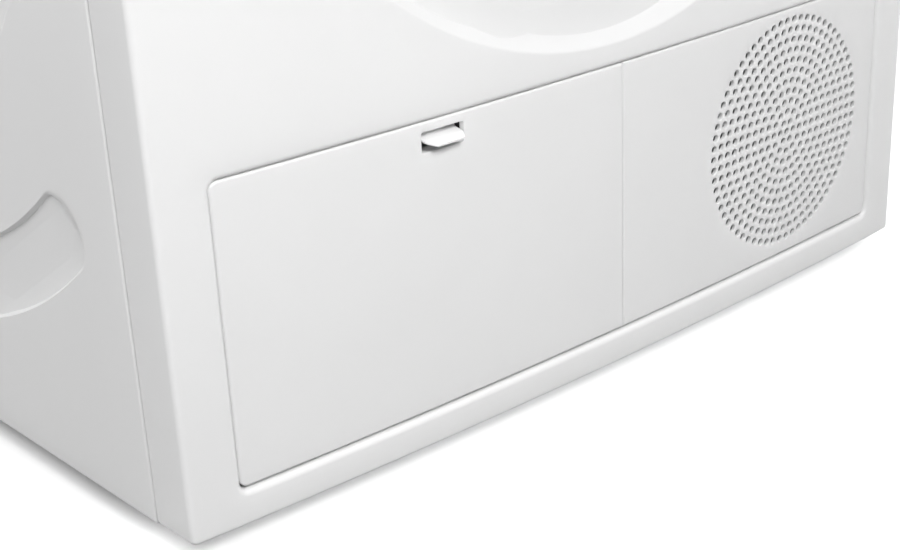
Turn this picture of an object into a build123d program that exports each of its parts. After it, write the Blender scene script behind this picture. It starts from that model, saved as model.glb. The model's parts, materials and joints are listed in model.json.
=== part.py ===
from build123d import *
import os
from math import cos, hypot, pi, radians, sin

# ---------------------------------------------------------------- driving dimensions, millimetres
# Frame: +X to the machine's right, -Y the front, +Z up, origin on the floor at the middle of the box.
WIDTH = 597.0
HEIGHT = 846.0
DEPTH = 622.0
KNOB_PROUD = 26.0
FACE_Y = -DEPTH / 2 + KNOB_PROUD  # most forward line of the bowed front face
BACK_Y = DEPTH / 2
HALF = WIDTH / 2
BOW = 9.5  # how far the front face falls back at the corners
BOW_RADIUS = (HALF**2 + BOW**2) / (2 * BOW)
CORNER = 4.0
SEAM_Y = FACE_Y + 42.4
SIDE_Y = SEAM_Y + 0.8  # front edge of the side panels
REAR_Y = 290.0
SHEET = 1.5
THIN = 1.2
PLASTIC = 2.5

FLOOR_GAP = 13.0
PANEL_TOP = 742.0
FASCIA_Z = 742.8
FASCIA_TOP = 818.0
TOP_Z = 818.8
SIDE_Z = 14.0
SKIN_Z = 12.3

DOOR_Z = 477.5
DISH_RADIUS = 260.0
DISH_DEPTH = 11.0
DISH_FLOOR_RADIUS = 248.0
DISH_BLEND = 10.0
DISH_Y = FACE_Y + DISH_DEPTH
MOUTH_RADIUS = 172.0
PANEL_MOUTH = 185.0
DOOR_RADIUS = 214.0
RING_BORE = 136.0
DOOR_FRONT = FACE_Y - 16.0

KICK_X = 267.2
KICK_Z = FLOOR_GAP + 19.5
KICK_TOP = FLOOR_GAP + 191.0
KICK_CORNER = 5.5
KICK_FLANGE_Y = FACE_Y + 22.0
KICK_SPLIT = 11.3
SET_BACK = 1.6  # flap and grille lie this far behind the panel's face
EDGE_GAP = 0.8

LATCH_X = -125.0
LATCH_Z = FLOOR_GAP + 179.2
LATCH_WIDTH = 28.8
LATCH_HEIGHT = 11.6
LATCH_BACK_Y = FACE_Y + 12.5
LATCH_PIVOT_Y = LATCH_BACK_Y - 1.8
LATCH_PIVOT_Z = LATCH_Z + 1.6
TONGUE_PROUD = 5.4

GRILLE_X = 169.6
GRILLE_Z = FLOOR_GAP + 107.8
GRILLE_RINGS = 11
GRILLE_PITCH = 6.85
GRILLE_HOLE = 2.4

DRUM_RADIUS = 280.0
DRUM_SHEET = 1.0
DRUM_FRONT = -222.0
DRUM_BACK = 215.0
DRUM_MOUTH = 200.0
SHAFT_RADIUS = 10.0
WINDOW_RING = 125.0
WINDOW_RADIUS = 41.0
RUNNING = 0.06  # radial clearance of every turning fit

MOTOR_X = 167.2
MOTOR_Z = GRILLE_Z
ROTOR_RADIUS = 8.0
PULLEY_RADIUS = 12.0
BELT_THICK = 3.0
BELT_GAP = 0.4
BELT_Y = -112.0
BELT_WIDTH = 9.0

ROLLER_RADIUS = 24.0
ROLLER_ANGLE = 35.0
ROLLER_Y = -196.0

FOOT_X = 247.0
FOOT_FRONT_Y = -215.0
FOOT_REAR_Y = 255.0
FOOT_RADIUS = 20.0
FOOT_STEM = 5.0

DISC_Y = 24.0
DISC_Z = 412.0
DISC_RADIUS = 234.0
BAND_RADIUS = 326.6
BAND_HALF = 22.0
BAND_SWEEP = 40.3
PRESS_DEPTH = 3.5

HINGE_X = DOOR_RADIUS + 9.0
HINGE_Y = -296.0
PIN_RADIUS = 2.5
HOOK_X = -187.0
HOOK_Z = DOOR_Z + 70.0

TANK_X0 = -282.0
TANK_X1 = -116.0
TANK_Z0 = 749.0
TANK_Z1 = 813.0
TANK_BACK = 190.0

KNOB_X = 0.0
CONTROL_Z = 783.0
OPTION_XS = (85.0, 115.0, 145.0)
OPTION_Z = 762.0
START_X = 245.0
BOARD_Y = -262.0
DISPLAY_BOX = (70.0, 200.0, 777.0, 807.0)

FLAP_X0 = -KICK_X + EDGE_GAP
FLAP_X1 = KICK_SPLIT - EDGE_GAP / 2
FLAP_Z0 = KICK_Z + 1.8
FLAP_Z1 = KICK_TOP - EDGE_GAP
FLAP_PIVOT_Z = FLAP_Z0 + 8.0

EXCHANGER_X0 = -258.0
EXCHANGER_X1 = -8.0
EXCHANGER_Y = -246.0
EXCHANGER_PLATE = 6.0
LEVER_XS = (-240.0, -26.0)
LEVER_Z = 165.0
FIN_TOP = 170.0


# ---------------------------------------------------------------- shared helpers
def block(x0, x1, y0, y1, z0, z1):
    """A box between two corners."""
    return Pos((x0 + x1) / 2, (y0 + y1) / 2, (z0 + z1) / 2) * Box(x1 - x0, y1 - y0, z1 - z0)


def rod_y(x, z, radius, y0, y1):
    """A cylinder along Y."""
    return Pos(x, (y0 + y1) / 2, z) * Rot(90, 0, 0) * Cylinder(radius, y1 - y0)


def rod_z(x, y, radius, z0, z1):
    """A cylinder along Z."""
    return Pos(x, y, (z0 + z1) / 2) * Cylinder(radius, z1 - z0)


def rod_x(y, z, radius, x0, x1):
    """A cylinder along X."""
    return Pos((x0 + x1) / 2, y, z) * Rot(0, 90, 0) * Cylinder(radius, x1 - x0)


def tube_y(x, z, outer, inner, y0, y1):
    """A ring along Y."""
    return rod_y(x, z, outer, y0, y1) - rod_y(x, z, inner, y0 - 1, y1 + 1)


def slab_y(sketch, y0, y1):
    """A sketch drawn in X and Z, made solid from y0 to y1."""
    back = Plane(origin=(0, y1, 0), x_dir=(1, 0, 0), z_dir=(0, -1, 0))
    return extrude(back * sketch, y1 - y0)


def spun(points, blends=()):
    """A closed outline of (radius, y) points turned about the door's axis; blends are (point, radius)."""
    face = make_face(Polyline(*points, close=True))
    for (r, y), blend in blends:
        corner = face.vertices().sort_by_distance((r, y, 0))[0]
        face = fillet(corner, blend)
    return Pos(0, 0, DOOR_Z) * revolve(face, Axis.Y)


def bow_y(x, inset=0.0):
    """Y of the bowed front surface at x, or of the surface inset behind it."""
    return FACE_Y + BOW_RADIUS - ((BOW_RADIUS - inset) ** 2 - x * x) ** 0.5


def bowed(x0, x1, y_back, z0, z1, inset=0.0, corner=0.0):
    """A block whose front follows the bow; corner rounds its two front upright edges."""
    middle = (x0 + x1) / 2
    left = (x0, bow_y(x0, inset))
    right = (x1, bow_y(x1, inset))
    front = ThreePointArc(left, (middle, bow_y(middle, inset)), right)
    back = Polyline(right, (x1, y_back), (x0, y_back), left)
    face = make_face([front, back])
    if corner:
        face = fillet([face.vertices().sort_by_distance((*p, 0))[0] for p in (left, right)], corner)
    return extrude(Pos(0, 0, z0) * face, z1 - z0)


def window(x0, x1, z0, z1, corner):
    """A rounded rectangle in X and Z."""
    return Pos((x0 + x1) / 2, (z0 + z1) / 2) * RectangleRounded(x1 - x0, z1 - z0, corner)


def hull_y(circles, y0, y1):
    """The hull of some circles, each (x, z, radius), made solid along Y."""
    edges = [e for x, z, r in circles for e in (Pos(x, z) * Circle(r)).edges()]
    return slab_y(make_hull(edges), y0, y1)


def rod_between(start, end, radius, before, after):
    """A cylinder on the line from start to end, longer by before and after."""
    a = Vector(*start)
    b = Vector(*end)
    along = (b - a).normalized()
    length = (b - a).length + before + after
    middle = (a + b) * 0.5 + along * ((after - before) / 2)
    return Plane(origin=middle, z_dir=along) * Cylinder(radius, length)


def flap_axis():
    """The two ends of the flap's hinge axis, on the chord of the bow."""
    depth = SET_BACK + 4.0
    left = (FLAP_X0, bow_y(FLAP_X0) + depth, FLAP_PIVOT_Z)
    right = (FLAP_X1, bow_y(FLAP_X1) + depth, FLAP_PIVOT_Z)
    return left, right


# ---------------------------------------------------------------- casing
def dish(extra):
    """The space of the door's dish, or with extra the metal's far side around it."""
    points = [
        (0, DISH_Y + extra),
        (DISH_FLOOR_RADIUS + extra, DISH_Y + extra),
        (DISH_RADIUS + 1.2 * extra, FACE_Y),
        (DISH_RADIUS + 1.2 * extra, FACE_Y - 20),
        (0, FACE_Y - 20),
    ]
    return spun(points, [((points[1]), DISH_BLEND + extra)])


def front_panel():
    """The bowed sheet with folded sides and flanges, the door dish and the framed kick opening."""
    outer = bowed(-HALF, HALF, SEAM_Y, FLOOR_GAP, PANEL_TOP, corner=CORNER)
    inner = bowed(
        -HALF + SHEET, HALF - SHEET, SEAM_Y + 5, FLOOR_GAP + SHEET, PANEL_TOP - SHEET, SHEET, CORNER - SHEET
    )
    skin = outer - inner
    skin -= block(-HALF + SHEET, HALF - SHEET, FACE_Y + 24, SEAM_Y + 1, FLOOR_GAP - 1, PANEL_TOP + 1)
    frame = window(-KICK_X, KICK_X, KICK_Z, KICK_TOP, KICK_CORNER)
    lip = window(-KICK_X - SHEET, KICK_X + SHEET, KICK_Z - SHEET, KICK_TOP + SHEET, KICK_CORNER + SHEET)
    skin += slab_y(lip, FACE_Y - 5, KICK_FLANGE_Y) & outer
    skin -= slab_y(frame, FACE_Y - 6, KICK_FLANGE_Y + 1)
    skin += dish(SHEET) & outer
    skin -= dish(0)
    skin -= rod_y(0, DOOR_Z, PANEL_MOUTH, FACE_Y - 5, DISH_Y + 5)
    skin -= block(HOOK_X - 9, HOOK_X + 9, FACE_Y - 5, DISH_Y + 5, HOOK_Z - 10, HOOK_Z + 10)
    left, right = flap_axis()
    skin -= rod_between(left, right, PIN_RADIUS + RUNNING, 8, -20)
    return skin


def band_sketch(grow):
    """The curved band pressed into a side panel, round-ended, drawn about the disc's centre."""
    reach = BAND_HALF + grow
    start = Vector(BAND_RADIUS * sin(radians(-BAND_SWEEP)), -BAND_RADIUS * cos(radians(BAND_SWEEP)))
    end = Vector(-start.X, start.Y)
    ring = Circle(BAND_RADIUS + reach) - Circle(BAND_RADIUS - reach)
    wedge = make_face(Polyline((0, 0), (start.X * 3, start.Y * 3), (end.X * 3, end.Y * 3), close=True))
    return (ring & wedge) + Pos(start.X, start.Y) * Circle(reach) + Pos(end.X, end.Y) * Circle(reach)


def pressed(side, grow, depth):
    """The pressed shapes of one side, as solids that reach depth into the sheet from outside."""
    lower = band_sketch(grow)
    drawing = Circle(DISC_RADIUS + grow) + lower + mirror(lower, Plane.XZ)
    face = Plane(origin=(side * HALF, DISC_Y, DISC_Z), x_dir=(0, 1, 0), z_dir=(1, 0, 0)) * drawing
    return extrude(face, -side * depth)


def side_panel(side):
    """A flanged sheet with its pressed disc and bands; side is -1 for left and 1 for right."""
    inner = side * (HALF - THIN)
    fold = side * (HALF - 14)
    sheet = block(*sorted((side * HALF, inner)), SIDE_Y, REAR_Y, SKIN_Z, FASCIA_TOP)
    sheet += block(*sorted((side * HALF, fold)), SIDE_Y, SIDE_Y + THIN, SKIN_Z, FASCIA_TOP)
    sheet += block(*sorted((side * HALF, fold)), REAR_Y - 2.6, REAR_Y - 1.4, SKIN_Z, FASCIA_TOP)
    sheet += block(*sorted((side * HALF, fold)), SIDE_Y, REAR_Y - 1.4, FASCIA_TOP - THIN, FASCIA_TOP)
    sheet += pressed(side, THIN, PRESS_DEPTH + THIN)
    return sheet - pressed(side, 0, PRESS_DEPTH)


def duct_circles(shrink):
    """The teardrop outline of the rear duct: around the drum's back and down to the fan."""
    return [(0, DOOR_Z, 205 - shrink), (MOTOR_X, MOTOR_Z, 86 - shrink)]


def duct_screws():
    """Places of the screws in the duct cover's flange."""
    ring = [(210 * cos(radians(a)), DOOR_Z + 210 * sin(radians(a))) for a in (15, 55, 95, 135, 175, 215)]
    low = [(MOTOR_X + 91 * cos(radians(a)), MOTOR_Z + 91 * sin(radians(a))) for a in (0, -60, -120)]
    return ring + low


def air_windows():
    """Centres of the six air windows behind the drum."""
    angles = [radians(60 * k + 30) for k in range(6)]
    return [(WINDOW_RING * cos(a), DOOR_Z + WINDOW_RING * sin(a)) for a in angles]


def edge_screws():
    """Places of the screws along the rear panel's edges."""
    return [(x, z) for x in (-270, 270) for z in (40, 300, 560, 790)]


def rear_panel():
    """The flat back sheet with its air windows and screw holes."""
    sheet = block(-HALF + THIN + 0.1, HALF - THIN - 0.1, REAR_Y - THIN, REAR_Y, SIDE_Z, FASCIA_TOP)
    windows = air_windows() + [(MOTOR_X, MOTOR_Z)]
    sheet -= [rod_y(x, z, WINDOW_RADIUS, REAR_Y - 5, REAR_Y + 5) for x, z in windows]
    holes = [rod_y(x, z, 2.1, REAR_Y - 5, REAR_Y + 5) for x, z in duct_screws() + edge_screws()]
    return sheet - holes


def rear_duct_cover():
    """The pressed cover that carries warm air up the back to the drum."""
    shell = hull_y(duct_circles(0), REAR_Y, BACK_Y)
    shell = fillet(shell.edges().filter_by_position(Axis.Y, BACK_Y - 0.1, BACK_Y + 0.1), 9)
    shell += hull_y(duct_circles(-10), REAR_Y, REAR_Y + THIN)
    core = hull_y(duct_circles(THIN), REAR_Y - 1, BACK_Y - THIN)
    core = fillet(core.edges().filter_by_position(Axis.Y, BACK_Y - THIN - 0.1, BACK_Y - THIN + 0.1), 7.8)
    holes = [rod_y(x, z, 2.1, REAR_Y - 1, REAR_Y + 5) for x, z in duct_screws()]
    return shell - core - holes


def cabinet_screws():
    """Screws of the rear panel and duct cover, each one a separate solid."""
    screws = []
    for places, seat in ((duct_screws(), REAR_Y + THIN), (edge_screws(), REAR_Y)):
        for x, z in places:
            shank = rod_y(x, z, 1.9, REAR_Y - THIN, seat)
            screws.append(shank + rod_y(x, z, 4, seat, seat + 2.4))
    return Compound(screws)


def top_cover():
    """The worktop, with a bowed front edge and a rim."""
    top = bowed(-HALF, HALF, REAR_Y + 2, TOP_Z, HEIGHT, corner=CORNER)
    top = fillet(top.edges().filter_by_position(Axis.Z, HEIGHT - 0.1, HEIGHT + 0.1), 3)
    hollow = bowed(-HALF + 4, HALF - 4, REAR_Y - 4, TOP_Z - 1, HEIGHT - 4, 4)
    return top - hollow


def control_panel():
    """The fascia above the door, with openings for the tank drawer and the controls."""
    outer = bowed(-HALF, HALF, SEAM_Y, FASCIA_Z, FASCIA_TOP, corner=CORNER)
    inner = bowed(
        -HALF + PLASTIC, HALF - PLASTIC, SEAM_Y + 5, FASCIA_Z + PLASTIC, FASCIA_TOP - PLASTIC, PLASTIC, 1.5
    )
    fascia = outer - inner
    fascia -= block(-HALF + PLASTIC, HALF - PLASTIC, FACE_Y + 24, SEAM_Y + 1, FASCIA_Z - 1, FASCIA_TOP + 1)
    drawer = window(TANK_X0, TANK_X1, TANK_Z0, TANK_Z1, 4)
    screen = window(*DISPLAY_BOX, 3)
    fascia -= slab_y(drawer, FACE_Y - 5, SEAM_Y)
    fascia -= slab_y(screen, FACE_Y - 5, SEAM_Y)
    fascia -= rod_y(KNOB_X, CONTROL_Z, 3 + RUNNING, FACE_Y - 5, SEAM_Y)
    fascia -= rod_y(START_X, CONTROL_Z, 12.4, FACE_Y - 5, SEAM_Y)
    fascia -= [rod_y(x, OPTION_Z, 5.4, FACE_Y - 5, SEAM_Y) for x in OPTION_XS]
    return fascia


def display_window():
    """The dark clear window in the fascia."""
    x0, x1, z0, z1 = DISPLAY_BOX
    pane = slab_y(window(x0 + 0.3, x1 - 0.3, z0 + 0.3, z1 - 0.3, 2.7), FACE_Y - 5, FACE_Y + 30)
    space = bowed(x0 - 1, x1 + 1, FACE_Y + 21, z0 - 1, z1 + 1, 2.6)
    return pane & (bowed(x0, x1, FACE_Y + 20, z0, z1, 0.4) - space)


def control_board():
    """The circuit board behind the fascia."""
    board = block(20, 272, BOARD_Y, BOARD_Y + 2, 752, 810)
    for x in (50, 200, 235):
        board += block(x - 12, x + 12, BOARD_Y + 2, BOARD_Y + 14, 765, 795)
    return board


def base_tray():
    """The moulded floor: rim, ribs, exchanger rails and the bosses of the feet."""
    tray = block(-284, 284, -238, 284, SIDE_Z, 60)
    tray -= block(-280, 280, -234, 280, SIDE_Z + 6, 61)
    tray -= block(-285, 285, -239, -150, 38, 61)
    tray += block(0, 4, -234, 280, SIDE_Z + 6, 38)
    for x0 in (-250, -26):
        tray += block(x0, x0 + 10, -234, 150, SIDE_Z + 6, 43.8)
    for x in (-FOOT_X, FOOT_X):
        for y in (FOOT_FRONT_Y, FOOT_REAR_Y):
            tray += rod_z(x, y, 14, SIDE_Z + 6, 38)
    for x in (-FOOT_X, FOOT_X):
        for y in (FOOT_FRONT_Y, FOOT_REAR_Y):
            tray -= rod_z(x, y, FOOT_STEM + RUNNING, SIDE_Z - 1, 39)
    return tray


def foot(x, y):
    """A round pad on a threaded stem."""
    pad = rod_z(x, y, FOOT_RADIUS, 0, 8)
    pad = chamfer(pad.edges().filter_by_position(Axis.Z, 7.9, 8.1), 2)
    return pad + rod_z(x, y, FOOT_STEM, 8, 36)


# ---------------------------------------------------------------- kick panel: flap, latch and grille
def kick_plate(x0, x1, z0, z1, corners):
    """A bowed plastic panel with a return all round; corners lists the outer corners to round."""
    back = FACE_Y + 12.5
    shell = bowed(x0, x1, back, z0, z1, SET_BACK)
    shell -= bowed(x0 + 2, x1 - 2, back + 1, z0 + 2, z1 - 2, SET_BACK + PLASTIC)
    for x, z in corners:
        edge = [e for e in shell.edges().filter_by(Axis.Y) if hypot(e.center().X - x, e.center().Z - z) < 0.5]
        shell = fillet(edge, KICK_CORNER - EDGE_GAP)
    return shell


def service_flap():
    """The fold-down flap with its latch pocket and moulded hinge stubs."""
    flap = kick_plate(FLAP_X0, FLAP_X1, FLAP_Z0, FLAP_Z1, [(FLAP_X0, FLAP_Z0), (FLAP_X0, FLAP_Z1)])
    left, right = flap_axis()
    toe = block(FLAP_X0 - 1, FLAP_X1 + 1, FACE_Y - 5, FACE_Y + 20, FLAP_Z0 - 1, FLAP_PIVOT_Z)
    flap = (flap - toe) + (flap & rod_between(left, right, 8.9, 1, 1) & toe)
    flap += rod_between(left, right, 4, -0.2, -0.2) - rod_between(left, right, 4.1, -14, -14)
    half_width = LATCH_WIDTH / 2
    half_height = LATCH_HEIGHT / 2
    x0, x1 = LATCH_X - half_width, LATCH_X + half_width
    z0, z1 = LATCH_Z - half_height, LATCH_Z + half_height
    flap += block(x0 - 1.6, x1 + 1.6, FACE_Y + 5, LATCH_BACK_Y + 1.6, z0 - 1.6, z1 + 1.6)
    flap -= slab_y(window(x0, x1, z0, z1, 0.8), FACE_Y - 2, LATCH_BACK_Y)
    flap -= block(LATCH_X - 6, LATCH_X + 6, LATCH_PIVOT_Y - 1.9, LATCH_BACK_Y + 3, z1 - 3, FLAP_Z1 + 1)
    flap -= rod_x(LATCH_PIVOT_Y, LATCH_PIVOT_Z, 1.2 + RUNNING, x0 - 1.2, x1 + 1.2)
    flap += rod_between(left, right, PIN_RADIUS, 3.0, -262)
    flap += rod_between(left, right, PIN_RADIUS, -262, 3.2)
    return flap


def flap_latch():
    """The finger lever: a sloping tongue, its pivot stubs and the upright nose behind the flap."""
    reach = LATCH_WIDTH / 2 - 1.0
    front = (bow_y(LATCH_X) - TONGUE_PROUD, LATCH_Z - 1.2)
    rear = (LATCH_PIVOT_Y, LATCH_PIVOT_Z)
    side = [
        (front[0], front[1]),
        (front[0] + 0.6, front[1] + 1.7),
        (rear[0] + 0.4, rear[1] + 1.2),
        (rear[0] + 0.8, rear[1] - 0.9),
    ]
    outline = make_face(Polyline(*side, close=True))
    plane = Plane(origin=(LATCH_X - reach, 0, 0), x_dir=(0, 1, 0), z_dir=(1, 0, 0))
    tongue = extrude(plane * outline, 2 * reach)
    for sign in (-1, 1):
        tip = LATCH_X + sign * reach
        corner = make_face(
            Polyline((tip, front[0] - 1), (tip - sign * 3.2, front[0] - 1), (tip, front[0] + 6), close=True)
        )
        tongue -= extrude(Pos(0, 0, LATCH_Z - 8) * corner, 16)
    pivot = rod_x(*rear, 1.2, LATCH_X - LATCH_WIDTH / 2 - 1.0, LATCH_X + LATCH_WIDTH / 2 + 1.0)
    nose = block(LATCH_X - 5, LATCH_X + 5, rear[0] - 0.8, rear[0] + 0.8, rear[1], KICK_TOP - 1.2)
    return tongue + pivot + nose


def grille_holes():
    """Centres of the holes: one in the middle and eleven rings of six, twelve, eighteen and so on."""
    places = [(GRILLE_X, GRILLE_Z)]
    for ring in range(1, GRILLE_RINGS + 1):
        for k in range(6 * ring):
            angle = 2 * pi * k / (6 * ring)
            places.append(
                (GRILLE_X + ring * GRILLE_PITCH * cos(angle), GRILLE_Z + ring * GRILLE_PITCH * sin(angle))
            )
    return places


def intake_grille():
    """The fixed panel beside the flap, with rings of air holes and the flap's hinge bore."""
    x0 = KICK_SPLIT + EDGE_GAP / 2
    x1 = KICK_X - EDGE_GAP
    panel = kick_plate(x0, x1, FLAP_Z0, FLAP_Z1, [(x1, FLAP_Z0), (x1, FLAP_Z1)])
    panel -= [rod_y(x, z, GRILLE_HOLE, FACE_Y - 2, FACE_Y + 16) for x, z in grille_holes()]
    left, right = flap_axis()
    return panel - rod_between(left, right, PIN_RADIUS + RUNNING, -262, 8)


# ---------------------------------------------------------------- door
def door_ring():
    """The moulded outer ring of the door, hollow behind, with its grip pocket."""
    rim, bore, front = DOOR_RADIUS, RING_BORE, DOOR_FRONT
    blends = ((rim, front + 11), 5), ((rim - 10, front), 8), ((rim - 34, front), 20)
    corners = [point for point, blend in blends]
    ring = spun([(bore, DISH_Y - 2), (rim, DISH_Y - 2), *corners, (bore, front + 7)], blends)
    solid = ring
    hollows = ((rim - 2.5, front + 12), 4), ((rim - 11, front + 2.6), 6), ((rim - 34, front + 2.6), 20)
    corners = [point for point, blend in hollows]
    back = [(bore + 2.5, DISH_Y - 1), (rim - 2.5, DISH_Y - 1)]
    ring -= spun([*back, *corners, (bore + 2.5, front + 9.1)], hollows)
    ring += block(-rim - 1, 26 - rim, front + 1, DISH_Y - 2, DOOR_Z - 45, DOOR_Z + 45) & solid
    ring -= block(-rim - 3, 23.5 - rim, front + 3.5, DISH_Y + 4, DOOR_Z - 42.5, DOOR_Z + 42.5)
    ring -= block(rim - 8, rim + 2, HINGE_Y - 3.3, HINGE_Y + 3.3, DOOR_Z - 12.3, DOOR_Z + 12.3)
    return ring


def door_inner_ring():
    """The back plate of the door ring."""
    ring = tube_y(0, DOOR_Z, DOOR_RADIUS - 2.8, RING_BORE + 2.8, DISH_Y - 4.5, DISH_Y - 1.3)
    pocket = block(-DOOR_RADIUS - 3, 26.2 - DOOR_RADIUS, -300, -270, DOOR_Z - 45.2, DOOR_Z + 45.2)
    return ring - pocket


def door_glass():
    """The glass bowl that reaches back into the mouth."""
    rim = RING_BORE - 0.4
    back = [(0, -252), (rim - 42, -252), (rim - 11, -275), (rim, DOOR_FRONT + 8)]
    front = [(rim - 4.2, DOOR_FRONT + 8), (rim - 15.5, -277.6), (rim - 43.4, -256), (0, -256)]
    return spun(back + front, [(back[1], 12), (back[2], 12), (front[1], 9), (front[2], 9)])


def door_hinge_leaf():
    """The door's hinge knuckle and its tongue into the ring."""
    leaf = block(DOOR_RADIUS - 6, HINGE_X, HINGE_Y - 3, HINGE_Y + 3, DOOR_Z - 12, DOOR_Z + 12)
    leaf += rod_z(HINGE_X, HINGE_Y, 5, DOOR_Z - 12, DOOR_Z + 12)
    return leaf - rod_z(HINGE_X, HINGE_Y, PIN_RADIUS + RUNNING, DOOR_Z - 13, DOOR_Z + 13)


def door_hinge_bracket():
    """The bracket on the dish's floor, with two ears and the hinge pin."""
    bracket = block(HINGE_X - 7, HINGE_X + 4, DISH_Y - 3, DISH_Y, DOOR_Z - 30, DOOR_Z + 30)
    for z0 in (DOOR_Z - 19, DOOR_Z + 12.6):
        ear = block(HINGE_X - 5.5, HINGE_X + 4, HINGE_Y, DISH_Y - 2, z0, z0 + 6.4)
        bracket += ear + rod_z(HINGE_X, HINGE_Y, 5.5, z0, z0 + 6.4)
    return bracket + rod_z(HINGE_X, HINGE_Y, PIN_RADIUS, DOOR_Z - 18, DOOR_Z + 18)


def door_hook():
    """The hook that the catch holds."""
    hook = block(HOOK_X - 3, HOOK_X + 3, -275.3, -259, HOOK_Z - 7, HOOK_Z + 7)
    return hook + block(HOOK_X - 3, HOOK_X + 5, -263, -259, HOOK_Z - 5, HOOK_Z + 5)


def door_catch():
    """The catch housing behind the dish."""
    back = DISH_Y + SHEET
    body = block(HOOK_X - 13, HOOK_X + 9.5, back, back + 26, HOOK_Z - 14, HOOK_Z + 14)
    return body - block(HOOK_X - 8, HOOK_X + 7.5, back - 1, back + 21, HOOK_Z - 10, HOOK_Z + 10)


def door_seal():
    """The rubber ring that the door closes on."""
    inner = MOUTH_RADIUS + 1
    outline = [(inner, -262), (inner + 11, -262), (inner + 11, -270)]
    outline += [(inner + 7, -275), (inner + 3, -275), (inner, -270)]
    return spun(outline)


# ---------------------------------------------------------------- drum and its supports
def roller_place(side):
    """Centre of a support roller, in X and Z."""
    reach = DRUM_RADIUS + ROLLER_RADIUS + 0.35
    return side * reach * sin(radians(ROLLER_ANGLE)), DOOR_Z - reach * cos(radians(ROLLER_ANGLE))


def front_bulkhead():
    """The wall behind the front panel: mouth tube, felt flange and the lint filter's pocket."""
    wall = block(-290, 290, -262, -260.5, 214, 738)
    wall += rod_y(0, DOOR_Z, MOUTH_RADIUS + 2, -262, -226)
    wall += tube_y(0, DOOR_Z, 214, MOUTH_RADIUS, -228, -226)
    pocket = block(-72, 72, -251.5, -229.5, 205, DOOR_Z)
    pocket -= block(-70.5, 70.5, -250, -231, 206.5, DOOR_Z + 1)
    wall += pocket - rod_y(0, DOOR_Z, MOUTH_RADIUS + 1, -270, -220)
    wall -= rod_y(0, DOOR_Z, MOUTH_RADIUS, -270, -220)
    wall -= block(-70.5, 70.5, -250, -231, 206.5, DOOR_Z)
    return wall - block(HOOK_X - 13.5, HOOK_X + 10, -270, -250, HOOK_Z - 14.5, HOOK_Z + 14.5)


def lint_filter():
    """The lift-out filter: a ribbed cassette whose top continues the mouth."""
    body = block(-69, 69, -248.5, -232.5, 208, 320)
    for y0, y1 in ((-250, -245.5), (-235.5, -231)):
        for k in range(4):
            x0 = -60 + 30.5 * k
            body -= block(x0, x0 + 28.5, y0, y1, 218, 272)
    body -= rod_y(0, DOOR_Z, MOUTH_RADIUS, -260, -220)
    return body + block(-16, 16, -244, -237, 298, 316)


def drum_felt_seal():
    """The felt ring between the mouth and the drum."""
    return tube_y(0, DOOR_Z, 213, 202, -226, DRUM_FRONT - 0.4)


def drum_shell():
    """The drum's cylinder with its turned-in front rim."""
    shell = tube_y(0, DOOR_Z, DRUM_RADIUS, DRUM_RADIUS - DRUM_SHEET, DRUM_FRONT, DRUM_BACK)
    shell += tube_y(0, DOOR_Z, DRUM_RADIUS - 0.5, DRUM_MOUTH, DRUM_FRONT, DRUM_FRONT + DRUM_SHEET)
    return shell + tube_y(0, DOOR_Z, DRUM_MOUTH + DRUM_SHEET, DRUM_MOUTH, DRUM_FRONT, DRUM_FRONT + 10)


def drum_rear_wall():
    """The drum's back, with rings of air holes."""
    wall = rod_y(0, DOOR_Z, DRUM_RADIUS - DRUM_SHEET - 0.1, DRUM_BACK - 2.2, DRUM_BACK - 1)
    holes = []
    for radius, count in ((95, 24), (118, 30), (141, 36), (164, 42)):
        for k in range(count):
            a = 2 * pi * k / count
            holes.append(rod_y(radius * cos(a), DOOR_Z + radius * sin(a), 4, DRUM_BACK - 5, DRUM_BACK + 5))
    return wall - holes


def drum_lifters():
    """Three paddles inside the drum."""
    points = [(-36, -274.5), (36, -274.5), (12, -228), (-12, -228)]
    outline = make_face(Polyline(*points, close=True))
    outline = fillet(outline.vertices().group_by(Axis.Y)[-1], 9)
    inner = make_face(Polyline((-32.5, -275), (32.5, -275), (10, -231), (-10, -231), close=True))
    inner = fillet(inner.vertices().group_by(Axis.Y)[-1], 6)
    paddle = slab_y(outline, -208, 208) - slab_y(inner, -205, 205)
    return Compound([Pos(0, 0, DOOR_Z) * Rot(0, 120 * k, 0) * paddle for k in range(3)])


def drum_shaft():
    """The drum's hub flange and shaft."""
    hub = rod_y(0, DOOR_Z, 60, DRUM_BACK - 1, DRUM_BACK + 3)
    return hub + rod_y(0, DOOR_Z, SHAFT_RADIUS, DRUM_BACK + 3, 258)


def rear_bearing():
    """The plain bearing of the drum's shaft in the rear bulkhead."""
    bush = rod_y(0, DOOR_Z, 16.8, 226, 256) + rod_y(0, DOOR_Z, 30, 234, 238)
    return bush - rod_y(0, DOOR_Z, SHAFT_RADIUS + RUNNING, 220, 260)


def rear_bulkhead():
    """The wall that carries the drum's bearing, with six air windows and the fan's eye."""
    wall = block(-290, 290, 232, 234, 62, 738)
    wall -= rod_y(0, DOOR_Z, 17, 230, 236)
    windows = air_windows() + [(MOTOR_X, MOTOR_Z)]
    return wall - [rod_y(x, z, WINDOW_RADIUS, 230, 236) for x, z in windows]


def support_roller(side):
    """A rubber-faced roller under the drum's front."""
    x, z = roller_place(side)
    roller = rod_y(x, z, ROLLER_RADIUS, ROLLER_Y - 9, ROLLER_Y + 9)
    roller = chamfer(roller.edges().filter_by(GeomType.CIRCLE), 1)
    return roller - rod_y(x, z, 4 + RUNNING, ROLLER_Y - 10, ROLLER_Y + 10)


def roller_axles():
    """The two stub axles on the front bulkhead."""
    axles = []
    for side in (-1, 1):
        x, z = roller_place(side)
        axles.append(rod_y(x, z, 4, -260.5, ROLLER_Y + 14) + rod_y(x, z, 9, -260.5, ROLLER_Y - 10))
    return Compound(axles)


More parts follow.
